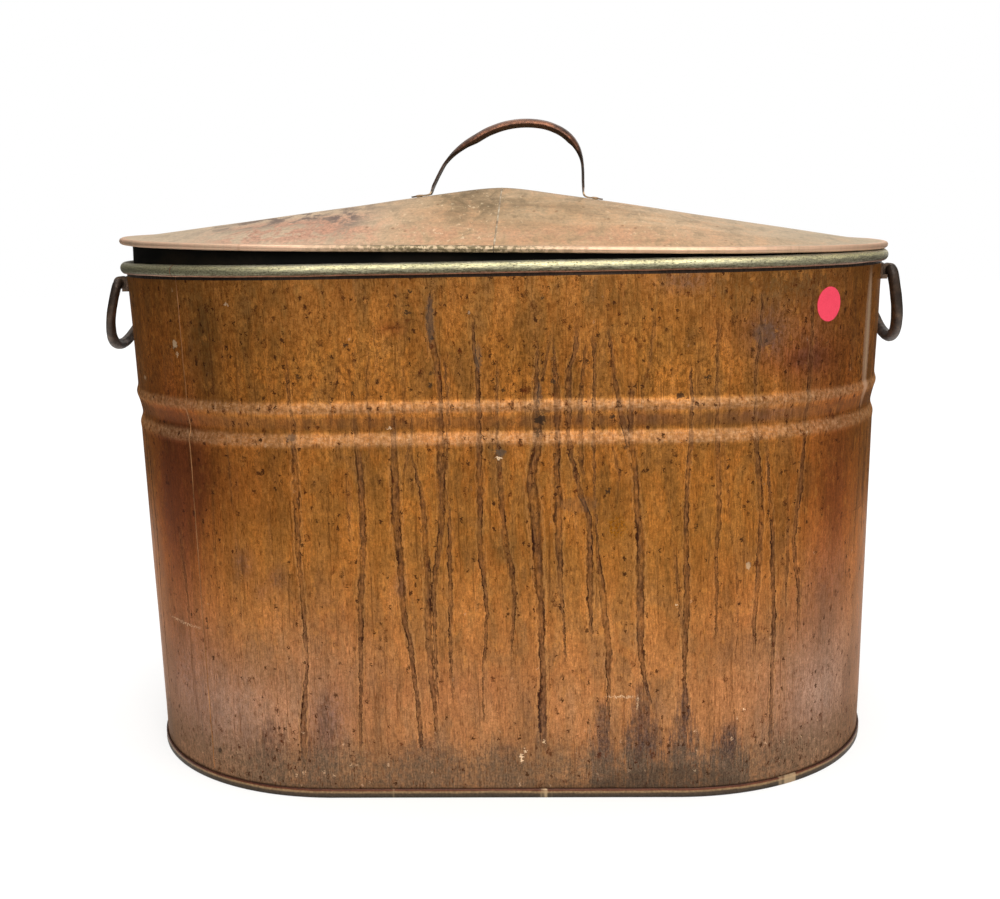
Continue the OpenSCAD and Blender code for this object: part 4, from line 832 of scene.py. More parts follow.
def sheet(name, u0, u1, node, step):
    n = int(round((u1 - u0) / step)) + 1
    us = np.linspace(u0, u1, n)
    cols, tags = [], []
    hem = [(FOOT_R - SHEET, PAN_T + 0.05), (FOOT_R + HEM_D, PAN_T + 0.05), (FOOT_R + HEM_D, SEAM_H - 0.8), (float(plain_r(SEAM_H - 0.8)), SEAM_H - 0.8)]
    for r, z in hem:
        cols.append((np.full(n, r), np.full(n, z), np.zeros(n)))
        tags.append(0)
    for z in Z_OUT:
        cols.append((plain_r(z) + swage(z) + dent(us, z), np.full(n, z), np.full(n, 268.0)))
        tags.append(0)
    wob = waves(us, 0 * us, LAP, 7, 21, 70, 1e9, 0.10) + waves(us, 0 * us, LAP, 6, 22, 260, 1e9, 0.16)
    wobz = waves(us, 0 * us, LAP, 6, 23, 90, 1e9, 0.09) + waves(us, 0 * us, LAP, 4, 24, 300, 1e9, 0.12)
    fat = 1 + waves(us, 0 * us, LAP, 7, 25, 33, 1e9, 0.012)
    small, big = ROLL_R - SHEET, ROLL_R
    end = -54 + waves(us, 0 * us, LAP, 6, 26, 60, 1e9, 3.0)
    for i in range(23):
        a = -92 + (end - 360 + 92) * i / 22
        ar = np.radians(a)
        cols.append((WALL_R + wob + small * np.cos(ar), RIM_Z + wobz + small * np.sin(ar), a + 360))
        tags.append(1)
    for i in range(34):
        a = (end - 360) + (-99 - (end - 360)) * i / 33
        ar = np.radians(a)
        rr = big * fat
        cols.append((WALL_R + wob + rr * np.cos(ar), RIM_Z + wobz + rr * np.sin(ar), a + 360))
        tags.append(3 if i == 0 else 1)
    for z in Z_IN[::-1]:
        cols.append((plain_r(z) + swage(z) - SHEET + dent(us, z), np.full(n, z), np.full(n, 261.0)))
        tags.append(2)
    m = len(cols)
    R = np.stack([c[0] for c in cols], 1)
    Zc = np.stack([c[1] for c in cols], 1)
    A = np.stack([c[2] for c in cols], 1)
    A = np.where(A > 180, A - 360, A)
    U = np.repeat(us[:, None], m, 1)
    cx, nx, ny = spine(U)
    V = np.stack([cx + nx * R, ny * R, Zc], -1).reshape(-1, 3)
    F, J = grid_np(n, m, False, True)
    tags = np.array(tags)
    # a face between sample j and j+1 takes the later one's kind
    fm = np.where(tags[J] == tags[(J + 1) % m], tags[J], np.maximum(tags[J], tags[(J + 1) % m]))
    fm = np.where(J == m - 1, 2, fm)
    lip = 4 + len(Z_OUT) + 22
    fm = np.where(J == lip, 3, fm)
    caps = [list(range(m))[::-1], [(n - 1) * m + j for j in range(m)]]
    faces = [tuple(f) for f in F] + caps
    fm = list(fm) + [3, 3]
    Uf, Zf = U.ravel(), Zc.ravel()
    # mask of the bead crests: their pale tan is partly wear and partly a painted highlight
    bead = np.exp(-((Zf - 292.9) / 4.0) ** 4) + np.exp(-((Zf - 269.9) / 4.6) ** 4)
    attrs = {
        "wuv": np.stack([Uf, Zf, A.ravel()], -1),
        "dripA": drip_field("A", Uf, Zf), "dripB": drip_field("B", Uf, Zf),
        "dripC": drip_field("C", Uf, Zf), "dripS": drip_field("S", Uf, Zf),
        "tint": np.stack([blobs("g", Uf, Zf), blobs("v", Uf, Zf), blobs("r", Uf, Zf)], -1),
        "tint2": np.stack([blobs("p", Uf, Zf), blobs("y", Uf, Zf), bead], -1),
    }
    return make(name, V, faces, "tub", [node], [COPPER, RIMTIN, TIN, EDGE], fm, 40, attrs=attrs)


GAP = R0 * math.radians(0.13)
U_LEFT = -(CS + R0 * math.radians(90 - SEAM_A))
U_RIGHT = CS + R0 * math.radians(90 + SEAM_A)
STEP = 3.2
front_sheet = sheet("wall_front", U_LEFT + GAP, U_RIGHT - GAP, "body_front_sheet", STEP)
back_sheet = sheet("wall_back", U_RIGHT - LAP + GAP, U_LEFT - GAP, "body_back_sheet", STEP)


# ------------------------------------------------------------------ side seams: solder bead outside, lock strip inside
def wall_strip(name, u_mid, half, z0, z1, d_in, d_out, node, mat, seed, edge=0.35, n_u=7, bumpy=0.0):
    zs = np.unique(np.concatenate([np.linspace(z0, 258, 40), np.arange(258, 304, 1.2), np.linspace(304, z1, 16)]))
    n = len(zs)
    prof = []
    for t in np.linspace(-1, 1, n_u):
        prof.append((t, 1 - abs(t) ** 3 * edge * 2 if bumpy == 0 else math.sqrt(max(0, 1 - (0.98 * t) ** 2))))
    rows = []
    for z in zs:
        w = half * (1 + (float(waves(np.array(z), 0, 400, 5, seed, 22, 1e9, 0.14)) if bumpy else 0))
        off = float(waves(np.array(z), 0, 400, 5, seed + 1, 40, 1e9, 0.25)) if bumpy else 0
        hh = 1 + (float(waves(np.array(z), 0, 400, 5, seed + 2, 14, 1e9, 0.22)) if bumpy else 0)
        base_r = float(plain_r(z) + swage(z))
        ring = []
        for t, hgt in prof:
            uu = u_mid + off + t * w
            d = float(dent(np.array(uu), np.array(z)))
            ring.append((uu, base_r + d + d_in + (d_out - d_in) * hgt * (hh if bumpy else 1), z))
        for t, hgt in reversed(prof):
            uu = u_mid + off + t * w
            d = float(dent(np.array(uu), np.array(z)))
            ring.append((uu, base_r + d + d_in, z))
        rows.append(ring)
    A = np.array(rows)
    m = A.shape[1]
    V = place(A[..., 0].ravel(), A[..., 1].ravel(), A[..., 2].ravel())
    F = grid_faces(n, m, False, True)
    F += [tuple(range(m))[::-1], tuple((n - 1) * m + j for j in range(m))]
    wuv = np.stack([A[..., 0].ravel(), A[..., 2].ravel(), np.zeros(n * m)], -1)
    return make(name, V, F, "tub", [node], [mat], None, 40, attrs={"wuv": wuv})


wall_strip("side_seam_bead_left", U_LEFT, 0.62, 9.0, 381.5, -0.35, 0.34, "seam_solder_left", SEAMCU, 31, bumpy=1.0)
wall_strip("side_seam_bead_right", U_RIGHT, 0.62, 9.0, 381.5, -0.35, 0.34, "seam_solder_right", SEAMCU, 41, bumpy=1.0)
lock_half = R0 * math.radians(2.4)
wall_strip("side_lock_inside_left", U_LEFT, lock_half, 9.0, 378.0, -0.74, -1.34, "side_lock_left", TINOBJ, 51, n_u=9)
wall_strip("side_lock_inside_right", U_RIGHT, lock_half, 9.0, 378.0, -0.74, -1.34, "side_lock_right", TINOBJ, 61, n_u=9)


# ------------------------------------------------------------------ bottom with its turned-up seam
def bottom():
    n = 420
    us = np.linspace(0, LAP, n, endpoint=False)
    sk = FOOT_R + HEM_D + 0.05
    w1 = waves(us, 0 * us, LAP, 8, 71, 40, 1e9, 0.09)
    w2 = waves(us, 0 * us, LAP, 8, 72, 26, 1e9, 0.12)
    one = np.ones(n)
    prof = [
        ((sk + PAN_T - 1.2) * one, 0 * one), ((sk + PAN_T - 0.35) * one, 0 * one), ((sk + PAN_T - 0.08) * one + w1 * 0.3, 0.3 * one),
        (sk + PAN_T + w1 * 0.6 - 0.02, 1.2 * one), (sk + PAN_T + w1 * 0.9 - 0.08, 2.6 * one), (sk + PAN_T + w2 * 0.8 - 0.1, 4.0 * one),
        (sk + PAN_T + w1 * 0.8 - 0.02, 5.3 * one), (sk + PAN_T - 0.12 + w2 * 0.4, 6.2 + w2 * 0.5), (sk + PAN_T - 0.42 + w2 * 0.4, 6.7 + w2 * 0.7),
        (sk + PAN_T - 0.95 + w2 * 0.4, 6.86 + w2 * 0.6), (float(plain_r(SEAM_H)) + 0.35 + w2 * 0.3, 6.7 + w2 * 0.7),
        (float(plain_r(SEAM_H)) + 0.06 + 0 * one, 6.4 + w2 * 0.5), (float(plain_r(SEAM_H)) + 0.06 + 0 * one, 6.25 * one),
        (sk + 0 * one, 6.25 * one), (sk + 0 * one, PAN_T * one), ((sk - 3) * one, PAN_T * one)]
    m = len(prof)
    R = np.stack([p[0] for p in prof], 1)
    Z = np.stack([p[1] for p in prof], 1)
    cx, nx, ny = spine(np.repeat(us[:, None], m, 1))
    V = np.stack([cx + nx * R, ny * R, Z], -1).reshape(-1, 3)
    F = [tuple(f) for f in grid_np(n, m, True, False)[0]]
    # flat plate: rings that shrink to the spine line, above and below
    rings = [0.75, 0.5, 0.25, 0.0]
    vs = [V]
    off = n * m
    prev_low, prev_up = [i * m for i in range(n)], [i * m + m - 1 for i in range(n)]
    cxs, nxs, nys = spine(us)
    for t in rings:
        r = (sk - 3) * t
        sag = 0.0
        low = np.stack([cxs + nxs * r, nys * r, 0 * us + sag], -1)
        up = np.stack([cxs + nxs * r, nys * r, 0 * us + PAN_T], -1)
        vs += [low, up]
        cl = list(range(off, off + n))
        cu = list(range(off + n, off + 2 * n))
        off += 2 * n
        for i in range(n):
            j = (i + 1) % n
            F.append((prev_low[i], cl[i], cl[j], prev_low[j]))
            F.append((prev_up[i], prev_up[j], cu[j], cu[i]))
        prev_low, prev_up = cl, cu
    V = np.concatenate(vs)
    ob = make("bottom_with_seam", V, F, "tub", ["bottom_pan"], [BAND], None, 50)
    return ob


bottom()


# ------------------------------------------------------------------ swept rods
def tube(name, path, radii, body, nodes, mat, seg=20, closed=False, caps=True, rough_amp=0.0, seed=1, squash_y=None):
    P = np.asarray(path, float)
    n = len(P)
    T = np.gradient(P, axis=0)
    if closed:
        T = np.roll(P, -1, 0) - np.roll(P, 1, 0)
    T /= np.linalg.norm(T, axis=1)[:, None]
    ref = np.array([0.0, 0.0, 1.0])
    N = np.zeros_like(P)
    a = np.cross(T[0], ref)
    if np.linalg.norm(a) < 1e-3:
        a = np.cross(T[0], np.array([1.0, 0, 0]))
    N[0] = a / np.linalg.norm(a)
    for i in range(1, n):
        v = N[i - 1] - T[i] * np.dot(N[i - 1], T[i])
        N[i] = v / np.linalg.norm(v)
    B = np.cross(T, N)
    R = np.broadcast_to(np.asarray(radii, float), (n,))
    th = np.linspace(0, 2 * math.pi, seg, endpoint=False)
    rng = np.random.default_rng(seed)
    s = np.concatenate([[0], np.cumsum(np.linalg.norm(np.diff(P, axis=0), axis=1))])
    ph = rng.uniform(0, 6.28, 6)
    V = []
    for j, t in enumerate(th):
        w = 0
        if rough_amp:
            for k in range(6):
                w = w + np.sin(s * (0.12 + 0.11 * k) + (k % 3) * t + ph[k]) / (1 + 0.5 * k)
            w = w * rough_amp
        rr = (R + w)[:, None]
        V.append(P + rr * (N * math.cos(t) + B * math.sin(t)))
    V = np.stack(V, 1).reshape(-1, 3)
    F = grid_faces(n, seg, closed, True)
    if caps and not closed:
        F += [tuple(range(seg)), tuple((n - 1) * seg + j for j in range(seg))[::-1]]
    return make(name, V, F, body, nodes, [mat], None, 50)


def bail_path(side, lean, r_leg=4.5, r_bow=4.5, deep=50.0):
    """Inner end of the front pin, knee, leg, bow, leg, knee, back pin."""
    pts, rad = [], []
    half, leg, y_in = 50.0, 6.5, 34.9
    knee = 3.6
    for y in np.linspace(-y_in, -(half - knee) + 0.6, 10):
        pts.append((y, 0.0))
        rad.append(3.0 if abs(y) < 45.25 else 3.0 + (r_leg - 3.0) * min(1, (abs(y) - 45.25) / 0.9))
    for a in np.linspace(0, 90, 9)[1:]:
        pts.append((-(half - knee) - knee * math.sin(math.radians(a)), -knee + knee * math.cos(math.radians(a))))
        rad.append(r_leg)
    for t in (0.5, 1.0):
        pts.append((-half, -knee - (leg - knee) * t))
        rad.append(r_leg)
    for a in np.linspace(0, 180, 49)[1:-1]:
        pts.append((-half * math.cos(math.radians(a)), -leg - deep * math.sin(math.radians(a))))
        rad.append(r_leg + (r_bow - r_leg) * math.sin(math.radians(a)) ** 2)
    m = len(pts)
    first = 10 + 8 + 2
    back = [(-p[0], p[1]) for p in pts[:first]][::-1]
    pts += back
    rad += rad[:first][::-1]
    L = math.radians(lean)
    out = []
    for y, t in pts:
        d = -t
        out.append((side * (HINGE_X + d * math.sin(L)), y, HINGE_Z - d * math.cos(L)))
    return out, rad


for side, lean, body, seed, shape in ((-1, 18.1, "handle_left", 5, (3.55, 4.3, 48.6)), (1, 12.0, "handle_right", 8, (4.4, 4.5, 50.0))):
    path, rad = bail_path(side, lean, *shape)
    tube(body + "_rod", path, np.array(rad), body, [body], ROD, 22, rough_amp=0.06, seed=seed)


# ------------------------------------------------------------------ lid
def lid_matrix():
    a, b = math.radians(LID_TIP), math.radians(LID_TILT)
    return (Matrix.Translation((0, 0, LID_Z)) @ Matrix.Rotation(b, 4, "Y") @ Matrix.Rotation(a, 4, "X"))


LM = np.array(lid_matrix())


def to_world(V):
    V = np.asarray(V, float)
    return V @ LM[:3, :3].T + LM[:3, 3]


def lid_profile(k):
    """Height of the crown at share k of the way from the apex to the margin; the tip is slightly rounded."""
    e = 0.05
    return CROWN_H - (CROWN_H - HEM_R) * np.sqrt(k * k + e * e) / math.sqrt(1 + e * e)


def lid_dent(x, y):
    d = waves(x, y, 1300.0, 7, 81, 210, 150, 0.42) + waves(x, y, 1300.0, 8, 82, 70, 60, 0.13)
    near = 1 - np.exp(-(x / 9.0) ** 2)
    foot = (1 - np.exp(-(((x - 74.8) / 16) ** 2 + (y / 14) ** 2))) * (1 - np.exp(-(((x + 66.5) / 16) ** 2 + (y / 14) ** 2)))
    return d * near * foot


def lid_half(name, side, node):
    ks = np.concatenate([[0.012], np.linspace(0.04, 0.2, 7), np.linspace(0.24, 0.97, 24), [0.985, 1.0]])
    st = []
    for x in np.linspace(0.3, CS, 26)[:-1]:
        st.append((x, -90.0))
    for a in np.linspace(-90, 90, 91):
        st.append((CS, a))
    for x in np.linspace(CS, 0.3, 26)[1:]:
        st.append((x, 90.0))
    st = np.array(st)
    n = len(st)
    dx, dy = np.cos(np.radians(st[:, 1])), np.sin(np.radians(st[:, 1]))
    lapu = np.concatenate([[0], np.cumsum(np.hypot(np.diff(st[:, 0] + 170 * dx), np.diff(170 * dy)))])
    cols, kinds = [], []
    rim_w = waves(lapu, 0 * lapu, 1200, 6, 84, 240, 1e9, 0.30) + waves(lapu, 0 * lapu, 1200, 6, 85, 60, 1e9, 0.12)
    rim_w = rim_w * smooth(0, 30, lapu) * smooth(0, 30, lapu[-1] - lapu)
    ex, ey = st[:, 0] + CROWN_R * dx, CROWN_R * dy
    for k in ks:
        x = 0.3 + (ex - 0.3) * k
        y = ey * k
        cols.append((x, y, lid_profile(k) + lid_dent(side * x, side * y) * smooth(0, 0.1, np.array(k)) * (1 - 0.6 * k)))
        kinds.append(0)
    for t in (0.15, 0.4, 0.7, 0.9):
        r = CROWN_R + (HEM_C - CROWN_R) * t
        cols.append((st[:, 0] + r * dx, r * dy, HEM_R - 0.25 * math.sin(math.pi * t) + rim_w * 0.5))
        kinds.append(0)
    for a in np.linspace(90, -150, 17):
        r = HEM_C + HEM_R * math.cos(math.radians(a))
        cols.append((st[:, 0] + r * dx, r * dy, HEM_R * math.sin(math.radians(a)) + rim_w * 0.5))
        kinds.append(0)
    for a in np.linspace(-150, 88, 13):
        r = HEM_C + (HEM_R - SHEET) * math.cos(math.radians(a))
        cols.append((st[:, 0] + r * dx, r * dy, (HEM_R - SHEET) * math.sin(math.radians(a)) + rim_w * 0.5))
        kinds.append(1)
    for t in (0.6, 0.0):
        r = CROWN_R + (HEM_C - CROWN_R) * t
        cols.append((st[:, 0] + r * dx, r * dy, HEM_R - SHEET + 0 * dx + (rim_w * 0.5 if t else 0)))
        kinds.append(1)
    for k in (0.9, 0.75, 0.6, 0.45, 0.3, 0.15, 0.05, 0.012):
        x = 0.3 + (ex - 0.3) * k
        y = ey * k
        cols.append((x, y, lid_profile(k) - SHEET + lid_dent(side * x, side * y) * smooth(0, 0.1, np.array(k)) * (1 - 0.6 * k)))
        kinds.append(1)
    m = len(cols)
    X = np.stack([c[0] + 0 * dx for c in cols], 1) * side
    Y = np.stack([c[1] + 0 * dx for c in cols], 1) * side
    Z = np.stack([c[2] + 0 * dx for c in cols], 1)
    V = np.stack([X, Y, Z], -1).reshape(-1, 3)
    F, J = grid_np(n, m, False, False)
    F = F.tolist()
    kinds = np.array(kinds)
    fm = np.maximum(kinds[J], kinds[np.minimum(J + 1, m - 1)]).tolist()
    # close the tip and the two straight cut sides
    tip_t, tip_b = n * m, n * m + 1
    V = np.concatenate([V, [[0.3 * side, 0, lid_profile(0.0)], [0.3 * side, 0, lid_profile(0.0) - SHEET]]])
    for i in range(n - 1):
        F.append([tip_t, (i + 1) * m, i * m])
        fm.append(0)
        F.append([tip_b, i * m + m - 1, (i + 1) * m + m - 1])
        fm.append(1)
    F.append([tip_t] + list(range(0, m)) + [tip_b])
    fm.append(1)
    F.append([tip_b] + [(n - 1) * m + j for j in range(m - 1, -1, -1)] + [tip_t])
    fm.append(1)
    # normals point outwards: the apex side faces up
    a, b, c = (V[F[m * 3 + 2][q]] for q in range(3))
    if np.cross(b - a, c - a)[2] < 0 and True:
        F = [f[::-1] for f in F]
    lx, ly = V[:, 0], V[:, 1]
    rose = np.exp(-(((lx + 150) / 58) ** 4 + ((ly + 120) / 48) ** 4)) + 0.45 * np.exp(-(((lx + 60) / 50) ** 2 + ((ly + 140) / 30) ** 2)) + 0.5 * np.exp(-(((lx - 150) / 80) ** 2 + ((ly - 60) / 50) ** 2)) + 0.45 * np.exp(-(((lx - 60) / 90) ** 2 + ((ly + 140) / 24) ** 2))
    yel = np.exp(-(((lx + 22) / 26) ** 4 + ((ly + 30) / 75) ** 4)) * 0.8 + 0.5 * np.exp(-(((lx - 18) / 22) ** 2 + ((ly + 40) / 60) ** 2)) + 0.35 * np.exp(-(((lx - 120) / 60) ** 2 + ((ly + 30) / 40) ** 2))
    rr = np.where(np.abs(lx) > CS, np.hypot(np.abs(lx) - CS, ly), np.abs(ly))
    edge = np.exp(-(((lx + 160) / 62) ** 4 + ((ly + 62) / 40) ** 4)) + 0.8 * np.exp(-(((lx + 112) / 16) ** 2 + ((ly + 110) / 36) ** 2))
    attrs = {"luv": np.stack([lx, ly, rr], -1), "ltint": np.stack([rose, yel, edge], -1), "wuv": np.stack([lx, ly, 0 * rr], -1)}
    return make(name, to_world(V), [tuple(f) for f in F], "lid", [node], [LIDCU, TIN], fm, 42, attrs=attrs)


lid_half("lid_panel_right", 1, "lid_right_panel")
lid_half("lid_panel_left", -1, "lid_left_panel")


def seam_bead():
    ys = np.concatenate([np.linspace(-(CROWN_R + 6), -CROWN_R, 6), np.linspace(-CROWN_R + 2, CROWN_R - 2, 150), np.linspace(CROWN_R, CROWN_R + 6, 6)])
    rows = []
    for y in ys:
        k = min(1.0, abs(y) / CROWN_R)
        z = float(lid_profile(k)) if abs(y) < CROWN_R else HEM_R
        w = 0.62 * (1 + float(waves(np.array(y), 0, 400, 5, 91, 16, 1e9, 0.30)))
        h = 0.34 * (1 + float(waves(np.array(y), 0, 400, 5, 92, 11, 1e9, 0.35)))
        ring = [(t * w, y, z - 0.05 + h * math.sqrt(max(0, 1 - (0.98 * t) ** 2))) for t in np.linspace(-1, 1, 9)]
        ring += [(t * w, y, z - 0.15) for t in np.linspace(1, -1, 5)]
        rows.append(ring)
    A = np.array(rows)
    n, m = A.shape[:2]
    F = grid_faces(n, m, False, True)
    F += [tuple(range(m))[::-1], tuple((n - 1) * m + j for j in range(m))]
    return make("lid_seam_bead", to_world(A.reshape(-1, 3)), F, "lid", ["lid_seam_solder"], [LIDSEAM], None, 50)


seam_bead()

# ------------------------------------------------------------------ lid handle
SLOPE = (CROWN_H - HEM_R) / (CS + CROWN_R)


def roof(x):
    return CROWN_H - SLOPE * abs(x)


ROUTE = [(-73, roof(73) + 0.7), (-66, roof(66) + 0.7), (-58.8, roof(59) + 0.75), (-56.9, roof(57) + 2.2),
         (-54.6, 44.5), (-50.8, 52.5), (-45.6, 61.5), (-38.6, 70.2), (-30, 77.6), (-21, 83.2), (-11, 88.6),
         (3, 93.2), (18, 95), (33, 93.8), (45, 89.8), (54, 84), (60, 76.5), (63.4, 67.5), (64.8, 57), (65.2, 46),
         (65.4, roof(65) + 3.6), (67.6, roof(68) + 0.9), (74.5, roof(75) + 0.7), (81, roof(81) + 0.7)]


def catmull(pts, per):
    P = np.array([pts[0]] + list(pts) + [pts[-1]], float)
    out = []
    for i in range(len(pts) - 1):
        p0, p1, p2, p3 = P[i:i + 4]
        for t in np.linspace(0, 1, per, endpoint=False):
            out.append(0.5 * (2 * p1 + (p2 - p0) * t + (2 * p0 - 5 * p1 + 4 * p2 - p3) * t * t + (3 * p1 - p0 - 3 * p2 + p3) * t ** 3))
    out.append(np.array(pts[-1], float))
    return np.array(out)


def lid_strap():
    C = catmull(ROUTE, 9)
    n = len(C)
    T = np.gradient(C, axis=0)
    T /= np.linalg.norm(T, axis=1)[:, None]
    s = np.concatenate([[0], np.cumsum(np.linalg.norm(np.diff(C, axis=0), axis=1))])
    rows = []
    K = np.linspace(-1, 1, 21)
    for i in range(n):
        x, z = C[i]
        g = 0.0 if z < 60 else min(1.0, (z - 60) / 22)
        g = g * g * (3 - 2 * g) * 0.5 + g * 0.5
        w = 8.2 + 2.9 * g + (1.2 * min(1, (42 - z) / 5) if z < 42 else 0)
        # round the two ends of the feet
        e = min(s[i], s[-1] - s[i])
        if e < 6:
            w = w * math.sqrt(max(0.06, 1 - (1 - e / 6) ** 2))
        d = 0.3 * min(1.0, max(0.0, (z - 42) / 6))
        th = 1.05 + 0.65 * min(1.0, max(0.0, (z - 39) / 4))
        nn = np.array([-T[i][1], T[i][0]])
        top, low = [], []
        for k in K:
            # flat strap in the legs, a hollow grip with its edges turned under at the crown
            phi = k * (math.radians(90) + math.radians(38) * g)
            arc_y, arc_z = math.sin(phi), 1 - math.cos(phi)
            yy = w * (k * (1 - g) + arc_y * g)
            dd = d * k * k * (1 - g) + 5.3 * arc_z * g * 0.62
            # direction across the thickness
            tilt = phi * g * 0.85
            for lst, o in ((top, th / 2), (low, -th / 2)):
                oy, oz = o * math.sin(tilt), o * math.cos(tilt)
                lst.append((x + nn[0] * (oz - dd), yy + oy, C[i][1] + nn[1] * (oz - dd)))
        rows.append(top + low[::-1])
    A = np.array(rows)
    m = A.shape[1]
    F = grid_faces(n, m, False, True)
    F += [tuple(range(m))[::-1], tuple((n - 1) * m + j for j in range(m))]
    ob = make("lid_handle_strap", to_world(A.reshape(-1, 3)), F, "lid", ["lid_handle"], [STRAP], None, 50)
    return ob


lid_strap()


def lid_rivets():
    """Four flat copper rivets through the feet, heads on top."""
    prof = [(0.0, 0.55), (0.9, 0.53), (1.8, 0.42), (2.5, 0.24), (2.9, 0.06), (3.0, -0.06), (1.85, -0.08), (1.85, -1.85), (0.0, -1.85)]
    V, F = [], []
    nseg = 28
    for x, y in ((-66.5, 4.6), (-66.5, -4.6), (74.8, 4.6), (74.8, -4.6)):
        nx = math.copysign(SLOPE, x)
        nrm = np.array([nx, 0.0, 1.0]) / math.hypot(nx, 1.0)
        t1 = np.array([nrm[2], 0.0, -nrm[0]])
        t2 = np.array([0.0, 1.0, 0.0])
        c0 = np.array([x, y, roof(abs(x))]) + nrm * 1.22
        off = len(V)
        V.append(c0 + nrm * prof[0][1])
        for r, h in prof[1:-1]:
            for k in range(nseg):
                a = 2 * math.pi * k / nseg
                V.append(c0 + nrm * h + (t1 * math.cos(a) + t2 * math.sin(a)) * r)
        V.append(c0 + nrm * prof[-1][1])
        last = len(V) - 1
        rings = len(prof) - 2
        for k in range(nseg):
            k2 = (k + 1) % nseg
            F.append((off, off + 1 + k, off + 1 + k2))
            for q in range(rings - 1):
                a0, b0 = off + 1 + q * nseg, off + 1 + (q + 1) * nseg
                F.append((a0 + k, b0 + k, b0 + k2, a0 + k2))
            b0 = off + 1 + (rings - 1) * nseg
            F.append((b0 + k, last, b0 + k2))
    make("lid_handle_rivet_heads", to_world(np.array(V)), F, "lid", ["lid_handle_rivets"], [PALEFIT], None, 50)


lid_rivets()


# ------------------------------------------------------------------ paper dot
def dot():
    M = Mat("pink paper")
    o = M.obj()
    n = M.noise(o, 900.0, 4, 0.6)
    n2 = M.noise(o, 120.0, 3, 0.5)
    base = M.mix(M.rng(n, 0.3, 0.7, 0.0, 1.0), srgb(222, 52, 80), srgb(232, 66, 92))
    base = M.mix(M.rng(n2, 0.5, 0.75, 0.0, 0.3), base, srgb(206, 48, 74))
    mat = M.set(Base_Color=base, Metallic=0.0, Roughness=0.55, Normal=M.bump(n, 0.0001, 0.4))
    ang, zc, r = -51.0, 357.5, 12.3
    uc = CS + R0 * math.radians(ang + 90)
    rings, seg = 8, 56
    V, F = [], []
    for layer, off in ((0, 0.30), (1, 0.08)):
        for i in range(rings + 1):
            rr = r * i / rings
            for j in range(seg):
                t = 2 * math.pi * j / seg
                uu, zz = uc + rr * math.cos(t) * R0 / float(plain_r(zc)), zc + rr * math.sin(t)
                lift = 0.05 * (i / rings) ** 6 * (1 + math.sin(3 * t + 1)) if layer == 0 else 0
                rad = float(plain_r(zz)) + float(dent(np.array(uu), np.array(zz))) + off + lift
                V.append(place(np.array(uu), np.array(rad), np.array(zz)))
    V = np.array(V)
    per = (rings + 1) * seg
    for layer in (0, 1):
        for i in range(rings):
            for j in range(seg):
                j2 = (j + 1) % seg
                a, b, c, d = (layer * per + i * seg + j, layer * per + i * seg + j2, layer * per + (i + 1) * seg + j2, layer * per + (i + 1) * seg + j)
                q = (a, d, c, b) if layer == 0 else (a, b, c, d)
                F.append(q)
    for j in range(seg):
        j2 = (j + 1) % seg
        F.append((rings * seg + j, per + rings * seg + j, per + rings * seg + j2, rings * seg + j2))
    ob = make("paper_dot_blank", V, F, "tub", ["paper_dot"], [mat], None, 40)
    import bmesh
    bm = bmesh.new()
    bm.from_mesh(ob.data)
    bmesh.ops.remove_doubles(bm, verts=bm.verts, dist=1e-6)
    bmesh.ops.dissolve_degenerate(bm, edges=bm.edges, dist=1e-7)
    bm.to_mesh(ob.data)
    bm.free()


dot()

# ------------------------------------------------------------------ CAD nodes that stay
for name, mat in {
    "bottom_solder": SOLDER, "rim_wire": STEEL, "ear_band_left": DARK, "ear_band_right": DARK,
    "ear_rivets_left": DARK, "ear_rivets_right": DARK, "ear_burrs_left": DARK, "ear_burrs_right": DARK,
    "lid_seam_cleat": TINOBJ, "lid_hem_wire": STEEL, "lid_collar": COLLAR_SHADE,
    "lid_handle_burrs": DARK}.items():
    o = NODES[name]
    if not o.data.materials:
        o.data.materials.append(mat)
    for s in o.material_slots:
        s.material = mat

# ------------------------------------------------------------------ camera
yaw, pitch, roll = -0.0379, 0.1801, 0.019
fwd = np.array([math.sin(yaw) * math.cos(pitch), math.cos(yaw) * math.cos(pitch), -math.sin(pitch)])
right0 = np.array([math.cos(yaw), -math.sin(yaw), 0.0])
down0 = np.cross(fwd, right0)
rt = math.cos(roll) * right0 + math.sin(roll) * down0
dn = -math.sin(roll) * right0 + math.cos(roll) * down0
cam_data = bpy.data.cameras.new("camera")
cam = bpy.data.objects.new("camera", cam_data)
bpy.context.scene.collection.objects.link(cam)
cam.matrix_world = Matrix((
    (rt[0], -dn[0], -fwd[0], 0.03508),
    (rt[1], -dn[1], -fwd[1], -1.05154),
    (rt[2], -dn[2], -fwd[2], 0.42285),
    (0, 0, 0, 1)))
cam_data.sensor_width = 36.0
cam_data.sensor_fit = "HORIZONTAL"
cam_data.lens = 46.08
cam_data.clip_start = 0.02
cam_data.clip_end = 60.0
bpy.context.scene.camera = cam

# ------------------------------------------------------------------ floor
fm_ = Mat("pale floor")
gx, gy, _ = fm_.sep(fm_.obj())
gq = fm_.op("ADD", fm_.op("POWER", fm_.op("DIVIDE", fm_.op("ABSOLUTE", gx), 1.15), 2.0), fm_.op("POWER", fm_.op("DIVIDE", fm_.op("ABSOLUTE", fm_.op("SUBTRACT", gy, 0.14)), 0.72), 2.0))
near_floor = fm_.mix(fm_.noise(fm_.obj(), 3.0, 3, 0.5), (0.88, 0.88, 0.88), (0.92, 0.92, 0.92))
fm_.set(Base_Color=fm_.mix(fm_.rng(gq, 0.75, 1.25, 0.0, 1.0, True), near_floor, (0.14, 0.13, 0.12)), Roughness=0.75, Specular_IOR_Level=0.2)
